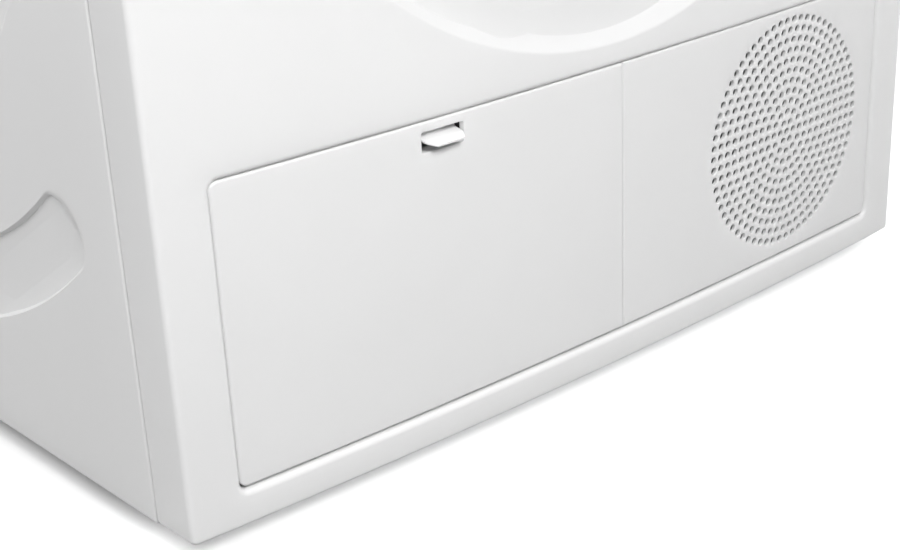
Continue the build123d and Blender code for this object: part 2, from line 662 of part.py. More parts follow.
def drum_belt():
    """The stretch belt around the drum and the motor pulley."""
    loops = []
    for extra in (BELT_GAP + BELT_THICK, BELT_GAP):
        circles = [(0, DOOR_Z, DRUM_RADIUS + extra), (MOTOR_X, MOTOR_Z, PULLEY_RADIUS + extra)]
        loops.append(hull_y(circles, BELT_Y - BELT_WIDTH / 2, BELT_Y + BELT_WIDTH / 2))
    return loops[0] - loops[1]


# ---------------------------------------------------------------- motor and fans
def motor_casing():
    """The motor's barrel on its foot, bored for the shaft."""
    body = rod_y(MOTOR_X, MOTOR_Z, 52, -62, 92)
    body += rod_y(MOTOR_X, MOTOR_Z, 20, -72, 100)
    body += block(MOTOR_X - 40, MOTOR_X + 40, -50, 80, SIDE_Z + 6, MOTOR_Z - 30)
    return body - rod_y(MOTOR_X, MOTOR_Z, ROTOR_RADIUS + RUNNING, -80, 110)


def motor_shaft():
    """The long shaft that carries the pulley and both fans."""
    return rod_y(MOTOR_X, MOTOR_Z, ROTOR_RADIUS, -228, 283)


def motor_pulley():
    """The flanged belt pulley."""
    half = BELT_WIDTH / 2
    pulley = rod_y(MOTOR_X, MOTOR_Z, PULLEY_RADIUS, BELT_Y - half - 3, BELT_Y + half + 3)
    for y0 in (BELT_Y - half - 3, BELT_Y + half + 1):
        pulley += rod_y(MOTOR_X, MOTOR_Z, PULLEY_RADIUS + 5, y0, y0 + 2)
    return pulley - rod_y(MOTOR_X, MOTOR_Z, ROTOR_RADIUS + 0.02, BELT_Y - 20, BELT_Y + 20)


def impeller(radius, y0, y1, blades):
    """A radial fan wheel: hub, back disc and straight blades."""
    wheel = rod_y(MOTOR_X, MOTOR_Z, 15, y0, y1) + rod_y(MOTOR_X, MOTOR_Z, radius, y1 - 2, y1)
    blade = block(13, radius, y0, y1 - 1, -1, 1)
    wheel += [Pos(MOTOR_X, 0, MOTOR_Z) * Rot(0, 360 * k / blades, 0) * blade for k in range(blades)]
    return wheel - rod_y(MOTOR_X, MOTOR_Z, ROTOR_RADIUS + 0.02, y0 - 1, y1 + 1)


def cooling_fan_shroud():
    """The ring around the cooling fan, on its foot."""
    shroud = tube_y(MOTOR_X, MOTOR_Z, 76, 73.5, -262, -160)
    shroud += block(MOTOR_X - 30, MOTOR_X + 30, -230, -180, SIDE_Z + 6, MOTOR_Z - 60)
    return shroud - rod_y(MOTOR_X, MOTOR_Z, 73.5, -263, -159)


def heater_element():
    """The sheathed heating rings in the rear duct, on two supports."""
    rings = [
        Pos(0, y, DOOR_Z) * Rot(90, 0, 0) * Torus(radius, 3.2)
        for radius, y in ((110, 262), (140, 262), (140, 276))
    ]
    arms = [block(x0, x0 + 10, 234, 278, DOOR_Z - 6, DOOR_Z + 6) for x0 in (-145, 135)]
    arms += [block(x0, x0 + 10, 234, 264, DOOR_Z - 6, DOOR_Z + 6) for x0 in (-115, 105)]
    parts = arms[0] + arms[1] + rings[1] + rings[2]
    return Compound([parts, arms[2] + arms[3] + rings[0]])


def heat_exchanger():
    """The air-cooled condenser cassette: front plate, fins and back plate in one block."""
    y1 = EXCHANGER_Y + EXCHANGER_PLATE
    plate = slab_y(window(EXCHANGER_X0, EXCHANGER_X1, 42, 186, 8), EXCHANGER_Y, y1)
    plate -= slab_y(window(-165, -101, 96, 122, 6), EXCHANGER_Y - 1, EXCHANGER_Y + 4)
    count = 20
    for k in range(count):
        x = EXCHANGER_X0 + 10 + k * (EXCHANGER_X1 - EXCHANGER_X0 - 20) / (count - 1)
        plate += block(x - 0.7, x + 0.7, y1 - 1, 147, 44, FIN_TOP)
    plate += block(EXCHANGER_X0 + 8, EXCHANGER_X1 - 8, 146, 150, 44, FIN_TOP)
    return plate - [rod_y(x, LEVER_Z, 3 + RUNNING, EXCHANGER_Y - 1, y1 - 0.5) for x in LEVER_XS]


def exchanger_lever(x):
    """A quarter-turn lever on the exchanger's front plate."""
    y0 = EXCHANGER_Y - 8
    y1 = EXCHANGER_Y - 0.4
    lever = rod_y(x, LEVER_Z, 9, y0, y1) + block(x - 5, x + 5, y0, y1, LEVER_Z - 32, LEVER_Z)
    lever += rod_y(x, LEVER_Z - 32, 5, y0, y1)
    return lever + rod_y(x, LEVER_Z, 3, y1, EXCHANGER_Y + EXCHANGER_PLATE - 1)


def condensate_pump():
    """The sump pump on the tray's floor."""
    pump = block(24, 84, 130, 190, SIDE_Z + 6, 44) + rod_z(54, 160, 24, 44, 88)
    return pump + rod_z(74, 180, 5, 44, 70)


# ---------------------------------------------------------------- water tank, controls, rear fittings
def tank_housing():
    """The trough that the tank slides in."""
    trough = block(TANK_X0 - 3, TANK_X1 + 3, -238, TANK_BACK + 10, 745, 815)
    return trough - block(TANK_X0 - 1, TANK_X1 + 1, -239, TANK_BACK + 8, 747, 816)


def water_tank():
    """The hollow tank, with its filling hole on top."""
    tank = block(TANK_X0 + 2, TANK_X1 - 2, -262, TANK_BACK, TANK_Z0 + 2, TANK_Z1 - 2)
    tank -= block(TANK_X0 + 4.5, TANK_X1 - 4.5, -259, TANK_BACK - 3, TANK_Z0 + 4.5, TANK_Z1 - 4.5)
    return tank - rod_z((TANK_X0 + TANK_X1) / 2, 140, 16, TANK_Z1 - 10, TANK_Z1 + 5)


def tank_front():
    """The drawer front with its finger recess."""
    x0, x1 = TANK_X0 + 0.7, TANK_X1 - 0.7
    plate = slab_y(window(x0, x1, TANK_Z0 + 0.7, TANK_Z1 - 0.7, 3.4), FACE_Y - 5, -262)
    front = plate & bowed(x0 - 1, x1 + 1, -262, TANK_Z0, TANK_Z1)
    middle = (x0 + x1) / 2
    front -= slab_y(window(middle - 38, middle + 38, 758, 790, 8), FACE_Y - 5, -266)
    return front - block(middle - 36, middle + 36, -276, -266, 770, 798)


def programme_knob():
    """The programme selector with its shaft."""
    front = FACE_Y - KNOB_PROUD
    knob = rod_y(KNOB_X, CONTROL_Z, 23, front, FACE_Y - 1)
    knob = fillet(knob.edges().filter_by_position(Axis.Y, front - 0.1, front + 0.1), 3)
    return knob + rod_y(KNOB_X, CONTROL_Z, 3, FACE_Y - 1, BOARD_Y - 1)


def push_button(x, z, radius):
    """A round push button with its stem."""
    face = bow_y(x) - 1.8
    return rod_y(x, z, radius, face, face + 6) + rod_y(x, z, 2.5, face + 6, BOARD_Y - 2)


def terminal_cover():
    """The cover of the mains terminals, with the bore of the cable gland."""
    cover = block(190, 280, REAR_Y, 304, 742, 802) - block(192, 278, REAR_Y - 1, 302, 744, 800)
    cover += rod_y(235, 772, 9, 299, BACK_Y)
    return cover - rod_y(235, 772, 4.25, 298, BACK_Y + 1)


def drain_spigot():
    """The hose spigot for draining straight to a waste pipe."""
    return rod_y(-240, 90, 13, REAR_Y, REAR_Y + 2) + rod_y(-240, 90, 6, REAR_Y + 2, REAR_Y + 20)


# ---------------------------------------------------------------- every piece, one file each
PIECES = {
    "front_panel": front_panel(),
    "left_side_panel": side_panel(-1),
    "right_side_panel": side_panel(1),
    "rear_panel": rear_panel(),
    "rear_duct_cover": rear_duct_cover(),
    "cabinet_screws": cabinet_screws(),
    "top_cover": top_cover(),
    "control_panel": control_panel(),
    "display_window": display_window(),
    "control_board": control_board(),
    "base_tray": base_tray(),
    "foot_front_left": foot(-FOOT_X, FOOT_FRONT_Y),
    "foot_front_right": foot(FOOT_X, FOOT_FRONT_Y),
    "foot_rear_left": foot(-FOOT_X, FOOT_REAR_Y),
    "foot_rear_right": foot(FOOT_X, FOOT_REAR_Y),
    "service_flap": service_flap(),
    "flap_latch": flap_latch(),
    "intake_grille": intake_grille(),
    "door_ring": door_ring(),
    "door_inner_ring": door_inner_ring(),
    "door_glass": door_glass(),
    "door_hinge_leaf": door_hinge_leaf(),
    "door_hinge_bracket": door_hinge_bracket(),
    "door_hook": door_hook(),
    "door_catch": door_catch(),
    "door_seal": door_seal(),
    "front_bulkhead": front_bulkhead(),
    "lint_filter": lint_filter(),
    "drum_felt_seal": drum_felt_seal(),
    "drum_shell": drum_shell(),
    "drum_rear_wall": drum_rear_wall(),
    "drum_lifters": drum_lifters(),
    "drum_shaft": drum_shaft(),
    "rear_bearing": rear_bearing(),
    "rear_bulkhead": rear_bulkhead(),
    "support_roller_left": support_roller(-1),
    "support_roller_right": support_roller(1),
    "roller_axles": roller_axles(),
    "drum_belt": drum_belt(),
    "motor_casing": motor_casing(),
    "motor_shaft": motor_shaft(),
    "motor_pulley": motor_pulley(),
    "cooling_impeller": impeller(68, -222, -176, 12),
    "process_impeller": impeller(66, 244, 280, 12),
    "cooling_fan_shroud": cooling_fan_shroud(),
    "heater_element": heater_element(),
    "heat_exchanger": heat_exchanger(),
    "exchanger_lever_left": exchanger_lever(LEVER_XS[0]),
    "exchanger_lever_right": exchanger_lever(LEVER_XS[1]),
    "condensate_pump": condensate_pump(),
    "tank_housing": tank_housing(),
    "water_tank": water_tank(),
    "tank_front": tank_front(),
    "programme_knob": programme_knob(),
    "start_button": push_button(START_X, CONTROL_Z, 12),
    "terminal_cover": terminal_cover(),
    "drain_spigot": drain_spigot(),
}
for number, option_x in enumerate(OPTION_XS, 1):
    PIECES[f"option_button_{number}"] = push_button(option_x, OPTION_Z, 5)

os.makedirs("parts", exist_ok=True)
for name, shape in PIECES.items():
    export_step(shape, f"parts/{name}.step")
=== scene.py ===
"""Looks of the clothes dryer: finished skins, materials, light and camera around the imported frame."""
import json
from math import cos, pi, radians, sin

import bmesh
import bpy
import numpy as np
from mathutils import Matrix, Vector
from mathutils.geometry import delaunay_2d_cdt


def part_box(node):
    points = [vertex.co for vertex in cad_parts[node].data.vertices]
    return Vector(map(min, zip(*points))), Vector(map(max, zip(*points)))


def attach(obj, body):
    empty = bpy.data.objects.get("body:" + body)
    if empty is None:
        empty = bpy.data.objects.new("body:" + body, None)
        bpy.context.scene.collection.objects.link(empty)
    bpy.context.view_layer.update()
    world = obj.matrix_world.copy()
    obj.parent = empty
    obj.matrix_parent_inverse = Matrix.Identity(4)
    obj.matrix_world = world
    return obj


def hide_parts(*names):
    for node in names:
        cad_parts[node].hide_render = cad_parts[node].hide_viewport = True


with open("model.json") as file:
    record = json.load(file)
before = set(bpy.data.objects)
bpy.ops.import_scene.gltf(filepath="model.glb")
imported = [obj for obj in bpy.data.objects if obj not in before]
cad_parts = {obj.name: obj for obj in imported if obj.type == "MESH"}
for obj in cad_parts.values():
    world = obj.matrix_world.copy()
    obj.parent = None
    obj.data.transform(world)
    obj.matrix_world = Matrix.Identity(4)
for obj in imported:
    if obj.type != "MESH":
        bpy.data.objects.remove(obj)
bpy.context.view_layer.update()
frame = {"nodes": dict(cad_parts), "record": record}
NODES = frame["nodes"]
RECORD = frame["record"]
MM = 0.001


def span(node):
    """A node's box in millimetres."""
    low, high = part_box(node)
    return low / MM, high / MM


# Front panel, in millimetres like every size below
PANEL_LOW, PANEL_HIGH = span("front_panel")
HALF = PANEL_HIGH.x
FACE_Y = PANEL_LOW.y
SEAM_Y = PANEL_HIGH.y
FRONT_SHEET = 1.5
BOW = 9.5
BOW_RADIUS = (HALF**2 + BOW**2) / (2 * BOW)
SIDE_ROLL, EDGE_ROLL, KICK_ROLL = 3.2, 2.0, 3.6
RETURN_Y = FACE_Y + 24.0

# Door dish and mouth
DOOR_Z = (span("door_ring")[0].z + span("door_ring")[1].z) / 2
DISH_Y = FACE_Y + 11.0
DISH_FLOOR = 248.0
DISH_RIM = 260.0
DISH_SLOPE = (DISH_RIM - DISH_FLOOR) / (DISH_Y - FACE_Y)
CREASE_BLEND, FOOT_BLEND = 0.9, 4.5
PANEL_MOUTH = 185.0

# Kick opening, with the flap to its left and the grille panel to its right
KICK_HALF = 267.2
KICK_FOOT, KICK_HEAD = 32.5, 204.0
KICK = (-KICK_HALF, KICK_HALF, KICK_FOOT, KICK_HEAD)
KICK_CORNER = 5.5
KICK_SPLIT = 11.3
FLANGE_Y = FACE_Y + 22.0
SET_BACK = 1.6
EDGE_GAP = 0.45
FOOT_GAP = 1.8
LEAF_CORNER, LEAF_SHARP = 4.7, 0.6
LEAF_THICK = 2.5
LEAF_ROLL = 1.8
FLAP_BACK = FACE_Y + 12.5
HINGE_HEIGHT = 8.0
HINGE_INSET = 4.0
LATCH_X, LATCH_Z = -125.0, 192.2
LATCH_HALF_X, LATCH_HALF_Z = 14.4, 5.8
GRILLE_X, GRILLE_Z = 169.6, 120.8
GRILLE_RINGS, GRILLE_PITCH, GRILLE_HOLE = 11, 6.85, 2.4

# Side panels and their pressed shapes, as Y and Z
SIDE_LOW, SIDE_HIGH = span("left_side_panel")
SIDE_SHEET = 1.2
SIDE_EDGE_ROLL = 2.2
SIDE_RETURN = 14.0
PRESS_DEPTH = 3.5
DISC_Y, DISC_Z, DISC_RADIUS, DISC_WALL = 24.0, 412.0, 234.0, 4.0
BAND_RADIUS, BAND_HALF, BAND_SWEEP, BAND_WALL = 326.6, 22.0, 40.3, 2.6
TIP_WALL, TIP_TURN, TIP_LEAD = 24.0, 4.6, 0.4


# ------------------------------------------------------------------ mesh building
MERGE_DISTANCE = 1e-7
SHARP_ANGLE = 38.0
LEAST_RADIUS = 0.02


class Shell:
    """Vertices and faces of one closed piece, in millimetres."""

    def __init__(self):
        self.points = []
        self.faces = []

    def ring(self, points):
        """Adds a loop of points and gives their numbers."""
        first = len(self.points)
        self.points.extend(points)
        return list(range(first, first + len(points)))

    def bridge(self, a, b):
        """Quads between two loops of the same length."""
        count = len(a)
        for i in range(count):
            j = (i + 1) % count
            self.faces.append((a[i], a[j], b[j], b[i]))

    def loft(self, loops):
        """A closed form through loops of points, with one face at each end."""
        rings = [self.ring(points) for points in loops]
        for a, b in zip(rings, rings[1:]):
            self.bridge(a, b)
        self.faces += [tuple(rings[0]), tuple(rings[-1])]

    def fill(self, bounds, guides, grid, keep, lift):
        """Triangles between boundary loops of (numbers, flat points), through guide loops and grid points."""
        flat = []
        owner = [number for numbers, _ in bounds for number in numbers]
        edges = []
        for loop in [loop for _, loop in bounds] + list(guides):
            base, count = len(flat), len(loop)
            flat.extend(loop)
            edges.extend((base + i, base + (i + 1) % count) for i in range(count))
        flat.extend(grid)
        out = delaunay_2d_cdt([Vector(p) for p in flat], edges, [], 0, MERGE_DISTANCE, True)
        number = {}
        for k, sources in enumerate(out[3]):
            known = [s for s in sources if s < len(owner)]
            if known:
                number[k] = owner[known[0]]
            else:
                number[k] = len(self.points)
                self.points.append(lift(*out[0][k]))
        flat_out = np.array([tuple(p) for p in out[0]])
        triangles = np.array([f for f in out[2] if len(f) == 3])
        middles = flat_out[triangles].mean(axis=1)
        inside = keep(middles[:, 0], middles[:, 1])
        for triangle in triangles[inside]:
            self.faces.append(tuple(number[k] for k in triangle))

    def piece(self, name, body, nodes, material):
        """Makes the Blender object, lets it ride on its body and stand for its nodes."""
        mesh = bpy.data.meshes.new(name)
        mesh.from_pydata([(x * MM, y * MM, z * MM) for x, y, z in self.points], [], self.faces)
        work = bmesh.new()
        work.from_mesh(mesh)
        bmesh.ops.remove_doubles(work, verts=work.verts, dist=MERGE_DISTANCE)
        bmesh.ops.recalc_face_normals(work, faces=work.faces)
        work.to_mesh(mesh)
        work.free()
        mesh.validate()
        mesh.shade_smooth()
        mesh.set_sharp_from_angle(angle=radians(SHARP_ANGLE))
        obj = bpy.data.objects.new(name, mesh)
        bpy.context.scene.collection.objects.link(obj)
        obj.data.materials.append(material)
        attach(obj, body)
        if nodes:
            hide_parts(*nodes)


def rounded_loop(x0, x1, z0, z1, radii, step=8.0, arc=6, inset_x=0.0, inset_z=0.0):
    """A rounded rectangle as flat points; radii are for (x0,z0), (x1,z0), (x1,z1), (x0,z1)."""
    places = ((x0, z0, 1, 1, 180), (x1, z0, -1, 1, 270), (x1, z1, -1, -1, 0), (x0, z1, 1, -1, 90))
    corners = []
    for (x, z, sx, sz, start), radius in zip(places, radii):
        rx, rz = max(radius - inset_x, LEAST_RADIUS), max(radius - inset_z, LEAST_RADIUS)
        cx, cz = x + sx * (inset_x + rx), z + sz * (inset_z + rz)
        turns = [radians(start + 90 * k / arc) for k in range(arc + 1)]
        corners.append([(cx + rx * cos(turn), cz + rz * sin(turn)) for turn in turns])
    counts = [max(2, round((x1 - x0) / step)), max(2, round((z1 - z0) / step))] * 2
    loop = []
    for k, count in enumerate(counts):
        a, b = corners[k][-1], corners[(k + 1) % 4][0]
        loop.extend(corners[k])
        for t in [i / count for i in range(1, count)]:
            loop.append((a[0] + (b[0] - a[0]) * t, a[1] + (b[1] - a[1]) * t))
    return loop


def circle_loop(x, z, radius, count):
    """A circle as flat points."""
    turns = [2 * pi * k / count for k in range(count)]
    return [(x + radius * cos(turn), z + radius * sin(turn)) for turn in turns]


def in_box(x, z, box, margin=0.0):
    """Which points lie in a flat box, shrunk by margin."""
    return (x > box[0] + margin) & (x < box[1] - margin) & (z > box[2] + margin) & (z < box[3] - margin)


def grid_points(box, step_x, step_z, keep):
    """A staggered grid of points in a box, where keep says so."""
    xs = np.arange(box[0] + step_x, box[1] - step_x / 2, step_x)
    zs = np.arange(box[2] + step_z, box[3] - step_z / 2, step_z)
    gx, gz = np.meshgrid(xs, zs)
    gx = gx + (np.arange(len(zs)) % 2)[:, None] * step_x * 0.5
    gx, gz = gx.ravel(), gz.ravel()
    chosen = keep(gx, gz) & (gx < box[1] - step_x * 0.4)
    return list(zip(gx[chosen].tolist(), gz[chosen].tolist()))


def bow_y(x, inset=0.0):
    """The bowed front face, or the surface inset behind it."""
    return FACE_Y + BOW_RADIUS - np.sqrt((BOW_RADIUS - inset) ** 2 - np.asarray(x, float) ** 2)


def soft_max(a, b, width):
    """The larger of two values, blended over width."""
    share = np.maximum(width - np.abs(a - b), 0.0) / width
    return np.maximum(a, b) + share * share * width / 4


def smooth(t):
    """Smooth step from 0 to 1."""
    t = np.clip(t, 0.0, 1.0)
    return t * t * (3 - 2 * t)


# ------------------------------------------------------------------ materials
COAT_ROUGHNESS = 0.12
GRAIN_HEIGHT = 0.0003
GRAIN_DETAIL = 2.0
RAMP_START, RAMP_SPREAD = 0.3, 0.4


def add_node(tree, kind, values=None):
    """A node of that kind, with its inputs set from values."""
    node = tree.nodes.new(kind)
    for socket, value in (values or {}).items():
        node.inputs[socket].default_value = value
    return node


def ramp_node(tree, colours):
    """A colour ramp with those colours evenly spaced over the middle of the pattern's range."""
    places = [RAMP_START + RAMP_SPREAD * k / (len(colours) - 1) for k in range(len(colours))]
    ramp = tree.nodes.new("ShaderNodeValToRGB")
    elements = ramp.color_ramp.elements
    for end in (0, -1):
        elements[end].color = (*colours[end], 1)
        elements[end].position = places[end]
    for colour, place in list(zip(colours, places))[1:-1]:
        elements.new(place).color = (*colour, 1)
    return ramp


def finish_material(
    name, colours, rough, metal=0.0, scale=60.0, stretch=(1, 1, 1), bump=0.05, grain=900.0, coat=0.0,
    cells=False, clear=0.0, ior=1.45, detail=3.0,
):
    """A procedural finish: colour from broad noise or cells, roughness and a raised grain from fine noise."""
    material = bpy.data.materials.new(name)
    material.use_nodes = True
    tree = material.node_tree
    tree.nodes.clear()
    link = tree.links.new
    output = add_node(tree, "ShaderNodeOutputMaterial")
    shader = add_node(tree, "ShaderNodeBsdfPrincipled", {
        "Metallic": metal, "IOR": ior, "Coat Weight": coat, "Coat Roughness": COAT_ROUGHNESS,
        "Transmission Weight": clear,
    })
    place = add_node(tree, "ShaderNodeTexCoord")
    mapping = add_node(tree, "ShaderNodeMapping", {"Scale": stretch})
    if cells:
        pattern = add_node(tree, "ShaderNodeTexVoronoi", {"Scale": scale})
        shade = add_node(tree, "ShaderNodeRGBToBW")
        link(pattern.outputs["Color"], shade.inputs[0])
        value = shade.outputs[0]
    else:
        pattern = add_node(tree, "ShaderNodeTexNoise", {"Scale": scale, "Detail": detail})
        value = pattern.outputs["Fac"]
    ramp = ramp_node(tree, colours)
    fine = add_node(tree, "ShaderNodeTexNoise", {"Scale": grain, "Detail": GRAIN_DETAIL})
    spread = add_node(tree, "ShaderNodeMapRange", {"To Min": rough[0], "To Max": rough[1]})
    raised = add_node(tree, "ShaderNodeBump", {"Strength": bump, "Distance": GRAIN_HEIGHT})
    link(shader.outputs[0], output.inputs[0])
    link(place.outputs["Object"], mapping.inputs[0])
    link(mapping.outputs[0], pattern.inputs["Vector"])
    link(mapping.outputs[0], fine.inputs["Vector"])
    link(value, ramp.inputs[0])
    link(ramp.outputs[0], shader.inputs["Base Color"])
    link(fine.outputs["Fac"], spread.inputs["Value"])
    link(spread.outputs[0], shader.inputs["Roughness"])
    link(fine.outputs["Fac"], raised.inputs["Height"])
    link(raised.outputs[0], shader.inputs["Normal"])
    return material


def greys(*shades):
    """Neutral colours, one for each shade."""
    return [(shade, shade, shade) for shade in shades]


FINISHES = {
    "white_paint": dict(
        colours=greys(0.86, 0.875), rough=(0.30, 0.36), scale=9.0, bump=0.03, grain=520.0, coat=0.15,
    ),
    "white_plastic": dict(
        colours=greys(0.865, 0.88), rough=(0.34, 0.42), scale=14.0, bump=0.05, grain=1500.0,
    ),
    "worktop": dict(colours=greys(0.66, 0.69), rough=(0.36, 0.44), scale=14.0, bump=0.05, grain=900.0),
    "control_plastic": dict(
        colours=[(0.72, 0.73, 0.74), (0.78, 0.79, 0.80)], rough=(0.25, 0.33), scale=30.0, bump=0.04,
        grain=1800.0, coat=0.3,
    ),
    "galvanised_sheet": dict(
        colours=[(0.57, 0.585, 0.60), (0.592, 0.605, 0.618), (0.612, 0.622, 0.635)], rough=(0.42, 0.54),
        metal=1.0, scale=110.0, bump=0.06, grain=300.0, cells=True,
    ),
    "drum_steel": dict(
        colours=[(0.60, 0.60, 0.61), (0.72, 0.72, 0.73)], rough=(0.20, 0.34), metal=1.0, scale=120.0,
        stretch=(1, 0.04, 1), bump=0.10, grain=1200.0,
    ),
    "grey_plastic": dict(
        colours=[(0.26, 0.27, 0.28), (0.31, 0.32, 0.33)], rough=(0.48, 0.60), scale=40.0, bump=0.12,
        grain=1600.0,
    ),
    "tank_plastic": dict(
        colours=[(0.70, 0.72, 0.74), (0.76, 0.78, 0.80)], rough=(0.30, 0.42), scale=30.0, bump=0.08,
        grain=900.0,
    ),
    "rubber": dict(
        colours=[(0.018, 0.018, 0.019), (0.035, 0.035, 0.036)], rough=(0.62, 0.78), scale=80.0, bump=0.18,
        grain=1400.0,
    ),
    "felt": dict(
        colours=[(0.33, 0.31, 0.28), (0.46, 0.44, 0.40), (0.55, 0.53, 0.49)], rough=(0.88, 0.98),
        scale=900.0, bump=0.5, grain=2600.0, detail=6.0,
    ),
    "smoked_glass": dict(
        colours=[(0.055, 0.06, 0.066), (0.075, 0.08, 0.088)], rough=(0.03, 0.07), scale=8.0, bump=0.004,
        grain=40.0, clear=0.55, ior=1.5,
    ),
    "display": dict(
        colours=[(0.012, 0.013, 0.015), (0.022, 0.023, 0.026)], rough=(0.05, 0.10), scale=12.0, bump=0.004,
        grain=60.0, coat=0.6, ior=1.5,
    ),
    "aluminium": dict(
        colours=[(0.58, 0.59, 0.60), (0.68, 0.69, 0.70)], rough=(0.34, 0.50), metal=1.0, scale=90.0,
        bump=0.12, grain=900.0,
    ),
    "machined_steel": dict(
        colours=[(0.48, 0.49, 0.50), (0.60, 0.60, 0.61)], rough=(0.22, 0.34), metal=1.0, scale=200.0,
        stretch=(1, 1, 0.15), bump=0.08, grain=1500.0,
    ),
    "bronze": dict(
        colours=[(0.42, 0.27, 0.12), (0.55, 0.38, 0.19)], rough=(0.35, 0.50), metal=1.0, scale=150.0,
        bump=0.12, grain=2000.0,
    ),
    "heater_sheath": dict(
        colours=[(0.16, 0.14, 0.13), (0.28, 0.22, 0.17), (0.30, 0.29, 0.30)], rough=(0.35, 0.55),
        metal=1.0, scale=35.0, bump=0.10, grain=800.0,
    ),
    "circuit": dict(
        colours=[(0.010, 0.10, 0.045), (0.02, 0.17, 0.08)], rough=(0.30, 0.45), scale=260.0, bump=0.10,
        grain=900.0, cells=True,
    ),
}
MATERIALS = {name: finish_material(name, **look) for name, look in FINISHES.items()}
SLOT_OF = {row["node"]: row["material_slot"] for row in RECORD["subparts"]}
for node, obj in NODES.items():
    obj.data.materials.clear()
    obj.data.materials.append(MATERIALS[SLOT_OF[node]])
NODES["top_cover"].data.materials[0] = MATERIALS["worktop"]

WELD_DISTANCE = 2e-6
SOFT_SEGMENTS = 3
SOFT_ANGLE = 35.0
SOFT_EDGES = {
    1.0: ("drum_lifters",),
    0.8: ("top_cover", "control_panel", "door_ring", "water_tank", "door_seal"),
    0.7: ("tank_front", "terminal_cover"),
    0.6: ("start_button",),
    0.5: (
        "door_inner_ring", "option_button_1", "option_button_2", "option_button_3", "door_hinge_bracket",
        "drain_spigot", "lint_filter", "exchanger_lever_left", "exchanger_lever_right", "tank_housing",
        "foot_front_left", "foot_front_right", "foot_rear_left", "foot_rear_right", "base_tray",
    ),
    0.4: ("door_hinge_leaf", "door_hook", "rear_duct_cover"),
    0.3: ("display_window", "cabinet_screws"),
}


def soften(node, width):
    """Rounds a carried-over node's hard edges a little, as moulding and pressing leave them."""
    obj = NODES[node]
    weld = obj.modifiers.new("weld", "WELD")
    weld.merge_threshold = WELD_DISTANCE
    bevel = obj.modifiers.new("edges", "BEVEL")
    bevel.width = width * MM
    bevel.segments = SOFT_SEGMENTS
    bevel.limit_method = "ANGLE"
    bevel.angle_limit = radians(SOFT_ANGLE)
    bevel.use_clamp_overlap = True
    bevel.harden_normals = True


# ------------------------------------------------------------------ shared sheet builder
def stack(shell, loop_of, stations):
    """Joins the rings at all stations, and gives the first and the last one with their flat loops."""
    rings = []
    for inset, depth, place in stations:
        flat = loop_of(inset)
        rings.append((shell.ring([place(x, z, depth) for x, z in flat]), flat))
        if len(rings) > 1:
            shell.bridge(rings[-2][0], rings[-1][0])
    return rings[0], rings[-1]


def plate(shell, outline, stations, lift, keep, guides=(), grid=(), holes=()):
    """A closed sheet: outer skin, rolled edge, wall and inner skin.

    outline(inset) gives flat points. stations lists (inset, depth, place) from the outer skin's edge round to
    the inner skin's, and place(x, z, depth) gives the point. lift and keep each hold one function for the
    outer skin and one for the inner. holes lists (outline, stations) for each opening.
    """
    ends = [stack(shell, loop_of, rings) for loop_of, rings in ((outline, stations), *holes)]
    shell.fill([first for first, _ in ends], guides, grid, keep[0], lift[0])
    shell.fill([last for _, last in ends], (), grid, keep[1], lift[1])


def roll(radius, count):
    """Insets and depths round a quarter turn, from the skin to the wall."""
    turns = [pi / 2 * k / count for k in range(count + 1)]
    return [(radius * (1 - sin(turn)), radius * (1 - cos(turn))) for turn in turns]


def straight_wall(x, z, depth):
    """A point on a wall that runs straight back, at that Y."""
    return (x, depth, z)


# ------------------------------------------------------------------ front panel
PANEL_CORNERS = (3.0, 3.0, 0.6, 0.6)
CREASE_STEPS = 20
DISH_COUNT = 320
CREASE_OFFSETS = (3.0, 1.8, 1.1, 0.6, 0.2, -0.2, -0.6, -1.1, -1.8, -3.0)
FOOT_OFFSETS = (3.0, 1.5, 0.2, -1.0, -2.5, -4.5, -7.5, -12.0)
MOUTH_COUNT = 128
MOUTH_RIM = ((1.2, 0.0), (0.4, 0.35), (0, 1.0), (0, 1.5))
WINDOW_RIM = ((0.6, 0.0), (0.2, 0.2), (0, 0.6), (0, 1.5))
HOOK_INSET, HOOK_HALF_X, HOOK_HALF_Z = 3.0, 9.0, 10.0
JOGGLE = 0.5
PANEL_GRID = (11.0, 16.0)


def dish_y(radius):
    """Depth profile of the door's dish: flat floor, soft foot and sloping wall."""
    wall = DISH_Y - (np.asarray(radius, float) - DISH_FLOOR) / DISH_SLOPE
    return -soft_max(-wall, -DISH_Y, FOOT_BLEND)


def front_y(x, z):
    """The painted face of the front panel, with the dish's crease rolled."""
    radius = np.hypot(np.asarray(x, float), np.asarray(z, float) - DOOR_Z)
    return soft_max(bow_y(x), dish_y(radius), CREASE_BLEND)


def crease(angle):
    """Radius at which the dish's wall meets the bowed face, in that direction."""
    radius = DISH_RIM
    for _ in range(CREASE_STEPS):
        gap = DISH_Y - float(bow_y(radius * cos(angle)))
        radius = DISH_FLOOR + DISH_SLOPE * gap
    return radius


def front_face(x, z, depth=0.0):
    """A point at depth behind the painted face."""
    return (x, float(front_y(x, z)) + depth, z)


def front_back(x, z):
    """A point of the sheet's inner face."""
    return front_face(x, z, FRONT_SHEET)


def upright_share(x):
    """1 at the panel's upright edges and 0 along its level ones."""
    return min(max((abs(x) - HALF + SIDE_ROLL + 1.0) / 2.0, 0.0), 1.0)


def folded_wall(x, z, depth):
    """A point on the folds; depth holds the Y at the upright edges and the Y at the level ones."""
    share = upright_share(x)
    return (x, depth[0] * share + depth[1] * (1 - share), z)


def rolled_edge(x, z, depth):
    """A point on the rolled edge; depth holds one depth for each kind of edge."""
    share = upright_share(x)
    base = float(front_y(min(max(x, -HALF + 0.01), HALF - 0.01), z))
    return (x, base + depth[0] * share + depth[1] * (1 - share), z)


